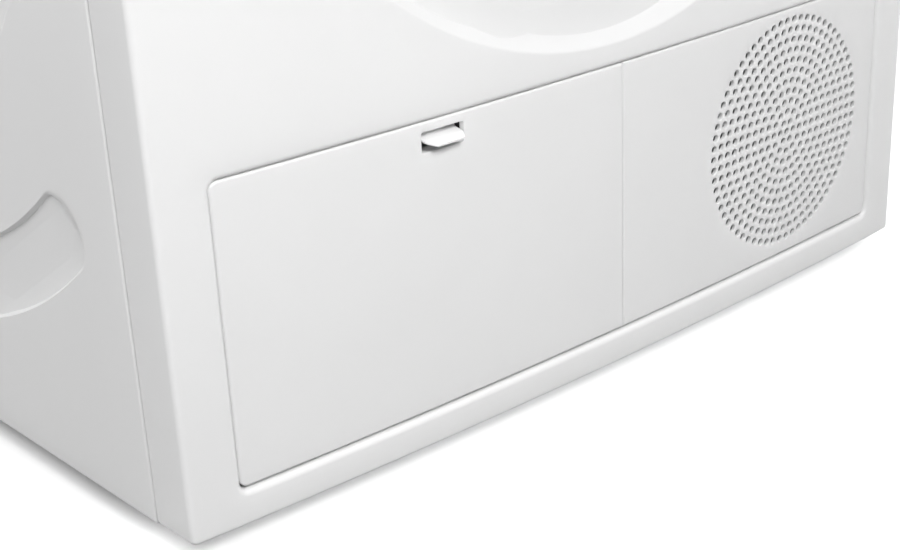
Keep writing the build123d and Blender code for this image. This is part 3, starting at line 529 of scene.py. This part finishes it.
def panel_outline(inset):
    """The front panel's outline; inset is a pair, across and up."""
    box = (-HALF, HALF, PANEL_LOW.z, PANEL_HIGH.z)
    return rounded_loop(*box, PANEL_CORNERS, step=9.0, arc=4, inset_x=inset[0], inset_z=inset[1])


def panel_stations():
    """Rings over the edge, back along the folds with a joggle at the seam, and forward again inside."""
    rings = []
    for side, edge in zip(roll(SIDE_ROLL, 8), roll(EDGE_ROLL, 8)):
        rings.append(((side[0], edge[0]), (side[1], edge[1]), rolled_edge))
    near = (FACE_Y + 17.6, FACE_Y + 16.0)
    middle = (FACE_Y + 18.4, FACE_Y + 20.0)
    rear = (SEAM_Y, RETURN_Y)
    flush, drawn_in, inner = (0, 0), (JOGGLE, 0), (FRONT_SHEET, FRONT_SHEET)
    rings += [(flush, near, folded_wall), (flush, middle, folded_wall)]
    rings += [(flush, (SEAM_Y - 3.0, RETURN_Y - 2.0), folded_wall), (drawn_in, rear, folded_wall)]
    rings += [(inner, depth, folded_wall) for depth in (rear, middle, near)]
    rings.append((inner, FRONT_SHEET + 1.0, front_face))
    return rings


def kick_outline(inset):
    """The kick opening's outline, drawn in by inset."""
    return rounded_loop(*KICK, (KICK_CORNER,) * 4, step=9.0, arc=8, inset_x=inset, inset_z=inset)


def kick_flange():
    """Rings over the kick opening's rolled edge, back along its flange and forward again inside."""
    rings = [(-inset, depth, front_face) for inset, depth in roll(KICK_ROLL, 7)]
    rings += [(0, FLANGE_Y, straight_wall), (-FRONT_SHEET, FLANGE_Y, straight_wall)]
    rings.append((-FRONT_SHEET, FRONT_SHEET + 1.2, front_face))
    return rings


def in_kick(x, z, margin):
    """Which points lie in the kick opening widened by margin."""
    corner = KICK_CORNER + margin
    across = np.abs(x) - (KICK_HALF + margin - corner)
    up = np.abs(z - (KICK_FOOT + KICK_HEAD) / 2) - ((KICK_HEAD - KICK_FOOT) / 2 + margin - corner)
    return np.hypot(np.maximum(across, 0), np.maximum(up, 0)) < corner


def mouth_outline(inset):
    """The round mouth's outline, widened by inset."""
    return circle_loop(0, DOOR_Z, PANEL_MOUTH + inset, MOUTH_COUNT)


def hook_window():
    """The flat box of the window that the door's hook goes through."""
    low, high = span("door_hook")
    x, z = low.x + HOOK_INSET, (low.z + high.z) / 2
    return (x - HOOK_HALF_X, x + HOOK_HALF_X, z - HOOK_HALF_Z, z + HOOK_HALF_Z)


def dish_guides():
    """Loops that follow the dish's crease and the foot of its wall."""
    angles = [2 * pi * k / DISH_COUNT for k in range(DISH_COUNT)]
    creases = [crease(angle) for angle in angles]
    rows = [[c + offset for c in creases] for offset in CREASE_OFFSETS]
    for offset in FOOT_OFFSETS:
        inside = 3.8 + (FOOT_OFFSETS[0] - offset) * 0.25
        rows.append([min(DISH_FLOOR + offset, c - inside) for c in creases])
    return [[(r * cos(a), DOOR_Z + r * sin(a)) for a, r in zip(angles, row)] for row in rows]


def build_front_panel():
    """The bowed sheet with its folds, kick opening, dish, mouth and hook window."""
    shell = Shell()
    window = hook_window()

    def window_outline(inset):
        return rounded_loop(*window, (1.5,) * 4, step=4.0, arc=3, inset_x=-inset, inset_z=-inset)

    def from_mouth(x, z):
        return np.hypot(x, z - DOOR_Z) - PANEL_MOUTH

    def keep_outer(x, z):
        return (from_mouth(x, z) > 1.0) & ~in_kick(x, z, KICK_ROLL) & ~in_box(x, z, window, -0.5)

    def keep_inner(x, z):
        return (from_mouth(x, z) > -0.2) & ~in_kick(x, z, FRONT_SHEET) & ~in_box(x, z, window)

    def clear(x, z):
        radius = np.hypot(x, z - DOOR_Z)
        inside = in_box(x, z, (-HALF + 10, HALF - 10, PANEL_LOW.z + 9, PANEL_HIGH.z - 9))
        off_wall = (radius > DISH_RIM + 8) | (radius < DISH_FLOOR - 16)
        off_holes = ~in_box(x, z, KICK, -8) & (radius > PANEL_MOUTH + 6) & ~in_box(x, z, window, -4)
        return inside & off_wall & off_holes

    mouth_rings = [(inset, depth, front_face) for inset, depth in MOUTH_RIM]
    window_rings = [(inset, depth, front_face) for inset, depth in WINDOW_RIM]
    plate(
        shell,
        panel_outline,
        panel_stations(),
        (front_face, front_back),
        (keep_outer, keep_inner),
        dish_guides(),
        grid_points((-HALF, HALF, PANEL_LOW.z, PANEL_HIGH.z), *PANEL_GRID, clear),
        ((kick_outline, kick_flange()), (mouth_outline, mouth_rings), (window_outline, window_rings)),
    )
    shell.piece("front_skin", "cabinet", ["front_panel"], MATERIALS["white_paint"])


# ------------------------------------------------------------------ side panels
DISC_COUNT = 220
DISC_INSETS = (-1, 0, 1.2, 2.4, 3.6, 5, 6.5, 9)
BAND_INSETS = (-1, 0, 0.7, 1.5, 2.3, 3.0, 4.2, 7, 11)
BAND_STEPS, TIP_STEPS = 80, 24
REAR_GAP = 1.4
SIDE_GRID = (14.0, 14.0)
WALL_MIDDLE = 4.5


def band_distance(y, z, side):
    """Signed distance to a curved band's outline, and the angle; side is -1 below the disc and 1 above."""
    across = np.abs(np.asarray(y, float) - DISC_Y)
    down = side * (np.asarray(z, float) - DISC_Z)
    angle = np.degrees(np.arctan2(across, down))
    end = radians(BAND_SWEEP)
    tip = np.hypot(across - BAND_RADIUS * sin(end), down - BAND_RADIUS * cos(end))
    along = np.abs(np.hypot(across, down) - BAND_RADIUS)
    return np.where(angle <= BAND_SWEEP, along, tip) - BAND_HALF, angle


def press_depth(y, z):
    """How far the side sheet is pressed in at a point: crisp long edges, soft tips."""
    disc = np.hypot(np.asarray(y, float) - DISC_Y, np.asarray(z, float) - DISC_Z) - DISC_RADIUS
    depth = smooth(-disc / DISC_WALL)
    for side in (-1, 1):
        distance, angle = band_distance(y, z, side)
        wall = BAND_WALL + TIP_WALL * smooth((angle - BAND_SWEEP + TIP_LEAD) / TIP_TURN)
        depth = np.maximum(depth, smooth(-distance / wall))
    return PRESS_DEPTH * depth


def band_loop(side, inset):
    """The outline of a curved band, drawn in by inset, as flat points."""
    end = radians(BAND_SWEEP)
    reach = BAND_HALF - inset
    points = []
    for start, stop, radius in ((-end, end, BAND_RADIUS + reach), (end, -end, BAND_RADIUS - reach)):
        for k in range(BAND_STEPS + 1):
            turn = start + (stop - start) * k / BAND_STEPS
            points.append((sin(turn) * radius, cos(turn) * radius))
        centre = (sin(stop) * BAND_RADIUS, cos(stop) * BAND_RADIUS)
        tip_start = stop if stop > 0 else stop + pi
        for k in range(1, TIP_STEPS):
            turn = tip_start + pi * k / TIP_STEPS
            points.append((centre[0] + reach * sin(turn), centre[1] + reach * cos(turn)))
    return [(DISC_Y + across, DISC_Z + side * down) for across, down in points]


def build_side_panel(name, side, node):
    """A painted side sheet with soft pressed shapes and returned edges."""
    shell = Shell()
    box = (SIDE_LOW.y, SIDE_HIGH.y - REAR_GAP, SIDE_LOW.z, SIDE_HIGH.z)

    def outline(inset):
        return rounded_loop(*box, (1.0,) * 4, step=16.0, arc=3, inset_x=inset, inset_z=inset)

    def place(y, z, depth):
        return (side * (HALF - depth), y, z)

    def outer(y, z):
        return place(y, z, float(press_depth(y, z)))

    def inner(y, z):
        return place(y, z, float(press_depth(y, z)) + SIDE_SHEET)

    def everywhere(y, z):
        return np.ones(len(y), bool)

    def clear(y, z):
        disc = np.abs(np.hypot(y - DISC_Y, z - DISC_Z) - DISC_RADIUS + WALL_MIDDLE) > 12
        low = np.abs(band_distance(y, z, -1)[0] + 5) > 8
        high = np.abs(band_distance(y, z, 1)[0] + 5) > 8
        return disc & low & high & in_box(y, z, box, 7)

    rings = [(inset, depth, place) for inset, depth in roll(SIDE_EDGE_ROLL, 6)]
    rings += [(0, SIDE_RETURN, place), (SIDE_SHEET, SIDE_RETURN, place)]
    rings.append((SIDE_SHEET, SIDE_SHEET + 0.6, place))
    guides = [circle_loop(DISC_Y, DISC_Z, DISC_RADIUS - inset, DISC_COUNT) for inset in DISC_INSETS]
    guides += [band_loop(end, inset) for end in (-1, 1) for inset in BAND_INSETS]
    grid = grid_points(box, *SIDE_GRID, clear)
    plate(shell, outline, rings, (outer, inner), (everywhere, everywhere), guides, grid)
    shell.piece(name, "cabinet", [node], MATERIALS["white_paint"])


# ------------------------------------------------------------------ kick panel: flap and grille
LEAF_LOW, LEAF_HIGH = KICK_FOOT + FOOT_GAP, KICK_HEAD - EDGE_GAP
LEAF_RETURN = 2.0
HINGE_RISE, HINGE_WALL = 4.0, 4.2
STUB_RADIUS, BARREL_RADIUS = 2.5, 4.0
STUB_LEFT, STUB_RIGHT = 2.9, 3.0
BARREL_START, BARREL_END = 2.2, 14
POCKET_RIM = ((0.5, 0.0), (0.15, 0.12), (0.0, 0.5))
POCKET_WALL = 1.5
GRID_STEP = 9.0
RIM_SIDES = 16
RIM_STATIONS = ((0.45, 0.0), (0.22, 0.06), (0.06, 0.22), (0.0, 0.45), (0.0, LEAF_THICK))
SLOT_LEDGE = 1.4
# Depth behind the kick face where the dark strip of painted shade in the latch pocket starts
SHADE_STRIP_DEPTH = 3.4


def kick_face(x, z, depth=0.0):
    """A point at depth behind a kick panel's face."""
    return (x, float(bow_y(x)) + SET_BACK + depth, z)


def kick_back(x, z):
    """A point of a kick panel's inner face."""
    return kick_face(x, z, LEAF_THICK)


def leaf_outline(x0, x1, radii):
    """The outline of one kick panel piece, as a function that draws it in by inset."""

    def outline(inset):
        return rounded_loop(x0, x1, LEAF_LOW, LEAF_HIGH, radii, step=7.0, arc=6, inset_x=inset, inset_z=inset)

    return outline


def leaf_stations(shallow=0.0):
    """Rings from a kick panel's face over its edge, down its wall and forward again inside.

    The wall is less deep up to that height above the opening's foot, where the flap's barrel sits.
    """

    def wall(x, z, depth):
        barrel_wall = min(kick_face(x, z, HINGE_WALL)[1], FLAP_BACK)
        return (x, barrel_wall if z < KICK_FOOT + shallow else FLAP_BACK, z)

    rings = [(inset, depth, kick_face) for inset, depth in roll(LEAF_ROLL, 6)]
    rings += [(0, 0, wall), (LEAF_RETURN, 0, wall), (LEAF_RETURN, LEAF_THICK, kick_face)]
    return rings


def leaf_grid(x0, x1, clear):
    """Grid points well inside a kick panel piece, where clear says so."""

    def keep(x, z):
        return in_box(x, z, (x0 + 6, x1 - 6, LEAF_LOW + 6, LEAF_HIGH - 5)) & clear(x, z)

    return grid_points((x0, x1, LEAF_LOW, LEAF_HIGH), GRID_STEP, GRID_STEP, keep)


def latch_pocket():
    """The flat box of the latch's pocket."""
    return (LATCH_X - LATCH_HALF_X, LATCH_X + LATCH_HALF_X, LATCH_Z - LATCH_HALF_Z, LATCH_Z + LATCH_HALF_Z)


def flap_skin(shell, x0, x1):
    """The flap's skin with its returns and the latch's pocket."""
    box = latch_pocket()

    def pocket(inset):
        return rounded_loop(*box, (1.2,) * 4, step=3.0, arc=4, inset_x=-inset, inset_z=-inset)

    def around(margin):
        return lambda x, z: ~in_box(x, z, box, -margin)

    rings = [(inset, depth, kick_face) for inset, depth in POCKET_RIM]
    rings.append((0.0, FLAP_BACK - 0.05, straight_wall))
    rings.append((POCKET_WALL, FLAP_BACK + POCKET_WALL, straight_wall))
    rings.append((POCKET_WALL, LEAF_THICK, kick_face))
    plate(
        shell,
        leaf_outline(x0, x1, (LEAF_CORNER, LEAF_SHARP, LEAF_SHARP, LEAF_CORNER)),
        leaf_stations(HINGE_RISE),
        (kick_face, kick_back),
        (around(0.3), around(1.45)),
        grid=leaf_grid(x0, x1, around(4)),
        holes=((pocket, rings),),
    )


def pocket_floor(shell):
    """The pocket's back wall, with the slot that the latch's nose passes through."""
    x0, x1, _, z1 = latch_pocket()
    y0, y1 = FLAP_BACK - 0.05, FLAP_BACK + POCKET_WALL
    slab(shell, x0 - SLOT_LEDGE, x1 - 5.0, y0, y1, LATCH_Z + 1.0, z1 - 3, 0.2)
    slab(shell, x0 - SLOT_LEDGE, LATCH_X - 6, y0, y1, z1 - 3, z1 + SLOT_LEDGE, 0.2)


def slab(shell, x0, x1, y0, y1, z0, z1, edge):
    """A block with chamfered edges, added to a shell."""
    loops = []
    for y, inset in ((y0, edge), (y0 + edge, 0), (y1 - edge, 0), (y1, edge)):
        left, right, low, high = x0 + inset, x1 - inset, z0 + inset, z1 - inset
        flat = [(left + edge, low), (right - edge, low), (right, low + edge), (right, high - edge)]
        flat += [(right - edge, high), (left + edge, high), (left, high - edge), (left, low + edge)]
        loops.append([(x, y, z) for x, z in flat])
    shell.loft(loops)


def barrel(shell, start, end, radius, count=24, edge=0.4):
    """A round bar between two points, with chamfered ends, added to a shell."""
    a, b = Vector(start), Vector(end)
    along = (b - a).normalized()
    side = along.cross(Vector((0, 0, 1))).normalized()
    up = side.cross(along)
    loops = []
    end_radius = radius - edge
    for base, shift, r in ((a, 0, end_radius), (a, edge, radius), (b, -edge, radius), (b, 0, end_radius)):
        centre = base + along * shift
        turns = [2 * pi * k / count for k in range(count)]
        loops.append([tuple(centre + side * (r * cos(turn)) + up * (r * sin(turn))) for turn in turns])
    shell.loft(loops)


def build_flap():
    """The whole flap as one piece: skin, pocket floor and the stubs and barrels of its hinge."""
    shell = Shell()
    x0, x1 = KICK[0] + EDGE_GAP, KICK_SPLIT - EDGE_GAP / 2
    flap_skin(shell, x0, x1)
    pocket_floor(shell)
    left, right = [Vector(kick_face(x, LEAF_LOW + HINGE_HEIGHT, HINGE_INSET)) for x in (x0, x1)]
    along = (right - left).normalized()
    start, end = along * BARREL_START, along * BARREL_END
    barrel(shell, left - along * STUB_LEFT, left + end, STUB_RADIUS)
    barrel(shell, right - end, right + along * STUB_RIGHT, STUB_RADIUS)
    barrel(shell, left + start, left + end, BARREL_RADIUS)
    barrel(shell, right - end, right - start, BARREL_RADIUS)
    shell.piece("service_flap_skin", "flap", ["service_flap"], MATERIALS["white_plastic"])


def build_painted_slot_shade():
    """A thin dark strip on the pocket's right-hand wall, where the lever's arm runs: painted shade that
    darkens the gap there.
    """
    shell = Shell()
    _, wall, _, top = latch_pocket()
    front = kick_face(wall, LATCH_Z, SHADE_STRIP_DEPTH)[1]
    slab(shell, wall - 0.4, wall - 0.04, front, FLAP_BACK - 0.1, LATCH_Z - 3.5, top - 0.9, 0.1)
    # The dark rubber finish is painted shade here, not a real lining
    shell.piece("latch_slot_painted_shade", "flap", [], MATERIALS["rubber"])


def grille_places():
    """Centres of the grille's holes: one in the middle and rings round it."""
    places = [(GRILLE_X, GRILLE_Z)]
    for ring in range(1, GRILLE_RINGS + 1):
        places += circle_loop(GRILLE_X, GRILLE_Z, ring * GRILLE_PITCH, 6 * ring)
    return places


def hole_outline(x, z):
    """The outline of one grille hole, as a function that widens it by inset."""
    return lambda inset: circle_loop(x, z, GRILLE_HOLE + inset, RIM_SIDES)


def build_grille():
    """The fixed panel with its rings of round holes, each with a rolled rim."""
    shell = Shell()
    x0, x1 = KICK_SPLIT + EDGE_GAP / 2, KICK_HALF - EDGE_GAP
    places = grille_places()
    centres = np.array(places)

    def from_hole(margin):
        def keep(x, z):
            gap = np.hypot(np.asarray(x)[:, None] - centres[:, 0], np.asarray(z)[:, None] - centres[:, 1])
            return gap.min(axis=1) > GRILLE_HOLE + margin

        return keep

    def clear(x, z):
        reach = GRILLE_RINGS * GRILLE_PITCH + GRILLE_HOLE
        return np.hypot(x - GRILLE_X, z - GRILLE_Z) > reach + 5

    rings = [(inset, depth, kick_face) for inset, depth in RIM_STATIONS]
    plate(
        shell,
        leaf_outline(x0, x1, (LEAF_SHARP, LEAF_CORNER, LEAF_CORNER, LEAF_SHARP)),
        leaf_stations(),
        (kick_face, kick_back),
        (from_hole(0.35), from_hole(-0.1)),
        grid=leaf_grid(x0, x1, clear),
        holes=[(hole_outline(x, z), rings) for x, z in places],
    )
    shell.piece("grille_skin", "cabinet", ["intake_grille"], MATERIALS["white_plastic"])


# ------------------------------------------------------------------ knob and latch
KNOB_COUNT, KNOB_FLUTES = 216, 36
KNOB_ROLL = 2.6
FLUTE_DEPTH = 0.55
LATCH_ROWS, LATCH_COUNT = 9, 20
LATCH_THICK, LATCH_LIP = 0.85, 0.62
LATCH_SQUARE = (0.22, 0.5)
PIVOT_RADIUS, NOSE_HALF_X, NOSE_HALF_Y = 1.2, 5, 0.8
SHAFT_RADIUS = 3.0
TAPER, TAPER_LENGTH, TAPER_CURVE = 3.9, 6.5, 1.2


def build_knob():
    """The programme selector: fluted grip, dished face with its pointer, and shaft."""
    shell = Shell()
    low, high = span("programme_knob")
    x, z = (low.x + high.x) / 2, (low.z + high.z) / 2
    front, foot, rear = low.y, FACE_Y - 1.0, high.y
    radius = (high.x - low.x) / 2
    turns = [radians(15 * k) for k in range(1, 7)]
    profile = [(0.05, front + 1.2), (12.0, front + 1.1), (16.5, front + 0.7), (18.6, front + 0.1)]
    profile.append((19.4, front))
    profile += [(radius - KNOB_ROLL * (1 - sin(a)), front + KNOB_ROLL * (1 - cos(a))) for a in turns]
    profile += [(radius, front + 8), (radius, front + 16), (radius, foot - 1.5), (radius - 0.6, foot - 0.4)]
    profile += [(radius - 1.8, foot), (SHAFT_RADIUS, foot)]
    profile += [(SHAFT_RADIUS, rear - 0.4), (SHAFT_RADIUS - 0.4, rear)]

    def fluted(r, y, k):
        if r > radius - 0.4 and front + 3 < y < foot - 1:
            return r - FLUTE_DEPTH * (0.5 + 0.5 * cos(2 * pi * k * KNOB_FLUTES / KNOB_COUNT))
        return r

    loops = []
    for r, y in profile:
        turns = [(2 * pi * k / KNOB_COUNT, fluted(r, y, k)) for k in range(KNOB_COUNT)]
        loops.append([(x + reach * cos(a), y, z + reach * sin(a)) for a, reach in turns])
    shell.loft(loops)
    slab(shell, x - 0.9, x + 0.9, front + 0.05, front + 2.0, z + 8.0, z + 17.5, 0.3)
    shell.piece("knob_grip", "knob", ["programme_knob"], MATERIALS["control_plastic"])


def build_latch():
    """The finger lever: tapered tongue with rounded edges, pivot and upright nose."""
    shell = Shell()
    low, high = span("flap_latch")
    pivot_y, pivot_z = FLAP_BACK - 1.8, LATCH_Z + 1.6
    tip_y, tip_z = low.y, LATCH_Z - 1.7
    loops = []
    for k in range(LATCH_ROWS):
        t = k / (LATCH_ROWS - 1)
        y = tip_y + 0.05 + (pivot_y - tip_y) * t
        z = tip_z + LATCH_THICK + (pivot_z - tip_z - 0.6) * t
        width = LATCH_HALF_X - 1.0 - TAPER * max(0.0, 1 - (y - tip_y) / TAPER_LENGTH) ** TAPER_CURVE
        thick = LATCH_THICK * (LATCH_LIP if k == 0 else 1.0)
        loop = []
        for j in range(LATCH_COUNT):
            across, up = cos(2 * pi * j / LATCH_COUNT), sin(2 * pi * j / LATCH_COUNT)
            x = LATCH_X + (abs(across) ** LATCH_SQUARE[0]) * (1 if across > 0 else -1) * width
            loop.append((x, y, z + (abs(up) ** LATCH_SQUARE[1]) * (1 if up > 0 else -1) * thick))
        loops.append(loop)
    shell.loft(loops)
    barrel(shell, (low.x, pivot_y, pivot_z), (high.x, pivot_y, pivot_z), PIVOT_RADIUS, 16, 0.2)
    nose = (LATCH_X - NOSE_HALF_X, LATCH_X + NOSE_HALF_X, pivot_y - NOSE_HALF_Y, pivot_y + NOSE_HALF_Y)
    slab(shell, *nose, pivot_z, high.z, 0.25)
    shell.piece("latch_lever", "latch", ["flap_latch"], MATERIALS["white_plastic"])


build_front_panel()
build_side_panel("left_side_skin", -1, "left_side_panel")
build_side_panel("right_side_skin", 1, "right_side_panel")
build_flap()
build_painted_slot_shade()
build_grille()
build_knob()
build_latch()
for width, nodes in SOFT_EDGES.items():
    for node in nodes:
        soften(node, width)


# ------------------------------------------------------------------ floor, light and camera, in metres
FLOOR_HALF = 8.0
GLOW_NEAR, GLOW_FAR = 0.55, 1.9
GLOW_LOW, GLOW_HIGH = 0.03, 0.75
ROOM_LIGHT, BACKDROP_LIGHT = 0.20, 0.93
EYE = Vector((-0.6999, -0.9697, 0.5067))
FORWARD = Vector((0.6594, 0.6174, -0.4289)).normalized()
ROLL = 0.004
LENS, SENSOR, CLIP_START = 70.66, 36.0, 0.02
SHIFT_X, SHIFT_Y = -0.220, 0.052
LAMPS = (  # name, place, target, size, watts and, for the narrow one, spread
    ("overhead", (-0.1, -0.3, 3.0), (0, 0, 0.2), (3.0, 3.0), 30),
    ("front_left", (-0.6, -1.7, 1.45), (-0.2, -0.3, 0.3), (0.8, 0.6), 25.6),
    ("front_right", (1.3, -1.9, 1.6), (0.2, -0.3, 0.25), (1.2, 0.8), 5.8),
    ("key", (-0.35, -0.95, 0.85), (-0.25, -0.3, 0.3), (0.35, 0.3), 0.35, 90.0),
    ("high_left", (-1.9, 0, 2.2), (-0.3, 0, 0.3), (1.0, 1.0), 31),
    ("right", (2.4, 0, 1.3), (0.3, 0, 0.4), (1.4, 1.4), 20),
    ("back", (0.3, 2.6, 1.6), (0, 0.3, 0.4), (1.6, 1.6), 20),
)


def link_object(name, data):
    """A new object in the scene."""
    obj = bpy.data.objects.new(name, data)
    bpy.context.scene.collection.objects.link(obj)
    return obj


def build_floor():
    """A pale floor that brightens away from the machine, so that it runs into the backdrop."""
    mesh = bpy.data.meshes.new("floor")
    corners = [(x * FLOOR_HALF, y * FLOOR_HALF, 0) for x, y in ((-1, -1), (1, -1), (1, 1), (-1, 1))]
    mesh.from_pydata(corners, [], [(0, 1, 2, 3)])
    material = finish_material(
        "floor_white", greys(0.94, 0.95), rough=(0.6, 0.7), scale=2.0, bump=0.01, grain=30.0,
    )
    tree = material.node_tree
    shader = next(n for n in tree.nodes if n.type == "BSDF_PRINCIPLED")
    shader.inputs["Emission Color"].default_value = (1, 1, 1, 1)
    place = add_node(tree, "ShaderNodeTexCoord")
    distance = add_node(tree, "ShaderNodeVectorMath")
    distance.operation = "LENGTH"
    glow = add_node(tree, "ShaderNodeMapRange", {
        "From Min": GLOW_NEAR, "From Max": GLOW_FAR, "To Min": GLOW_LOW, "To Max": GLOW_HIGH,
    })
    glow.interpolation_type = "SMOOTHSTEP"
    tree.links.new(place.outputs["Object"], distance.inputs[0])
    tree.links.new(distance.outputs["Value"], glow.inputs["Value"])
    tree.links.new(glow.outputs[0], shader.inputs["Emission Strength"])
    mesh.materials.append(material)
    obj = link_object("floor", mesh)
    obj.visible_diffuse = False
    return obj


def build_world():
    """An even room light that is brighter where the camera looks straight at it."""
    world = bpy.data.worlds.new("studio")
    world.use_nodes = True
    tree = world.node_tree
    background = tree.nodes["Background"]
    background.inputs[0].default_value = (1, 1, 1, 1)
    seen = add_node(tree, "ShaderNodeLightPath")
    strength = add_node(tree, "ShaderNodeMapRange", {"To Min": ROOM_LIGHT, "To Max": BACKDROP_LIGHT})
    tree.links.new(seen.outputs["Is Camera Ray"], strength.inputs["Value"])
    tree.links.new(strength.outputs[0], background.inputs[1])
    bpy.context.scene.world = world
    bpy.context.scene.view_settings.view_transform = "Standard"


def soft_light(name, place, target, size, power, spread=180.0):
    """A large soft area light aimed at a point."""
    lamp = bpy.data.lights.new(name, "AREA")
    lamp.shape = "RECTANGLE"
    lamp.size, lamp.size_y = size
    lamp.energy = power
    lamp.spread = radians(spread)
    obj = link_object(name, lamp)
    obj.location = place
    obj.visible_camera = False
    obj.rotation_euler = (Vector(target) - Vector(place)).to_track_quat("-Z", "Y").to_euler()
    return obj


def build_lights(floor):
    """The studio's lamps, the last of them a low one that lights nothing but the floor."""
    for lamp in LAMPS:
        soft_light(*lamp)
    wash = soft_light("floor_wash", (0.35, -1.35, 0.24), (0.1, -0.25, 0.0), (1.3, 0.2), 36)
    floor_only = bpy.data.collections.new("floor_only")
    floor_only.objects.link(floor)
    wash.light_linking.receiver_collection = floor_only


def build_camera():
    """The camera low in front of the machine's left corner, looking down at its foot."""
    level = FORWARD.cross(Vector((0, 0, 1))).normalized()
    upright = level.cross(FORWARD)
    right = level * cos(ROLL) + upright * sin(ROLL)
    up = upright * cos(ROLL) - level * sin(ROLL)
    data = bpy.data.cameras.new("camera")
    data.lens = LENS
    data.sensor_width = SENSOR
    data.shift_x, data.shift_y = SHIFT_X, SHIFT_Y
    data.clip_start = CLIP_START
    camera = link_object("camera", data)
    camera.matrix_world = Matrix.Translation(EYE) @ Matrix((right, up, -FORWARD)).transposed().to_4x4()
    bpy.context.scene.camera = camera


build_lights(build_floor())
build_world()
build_camera()
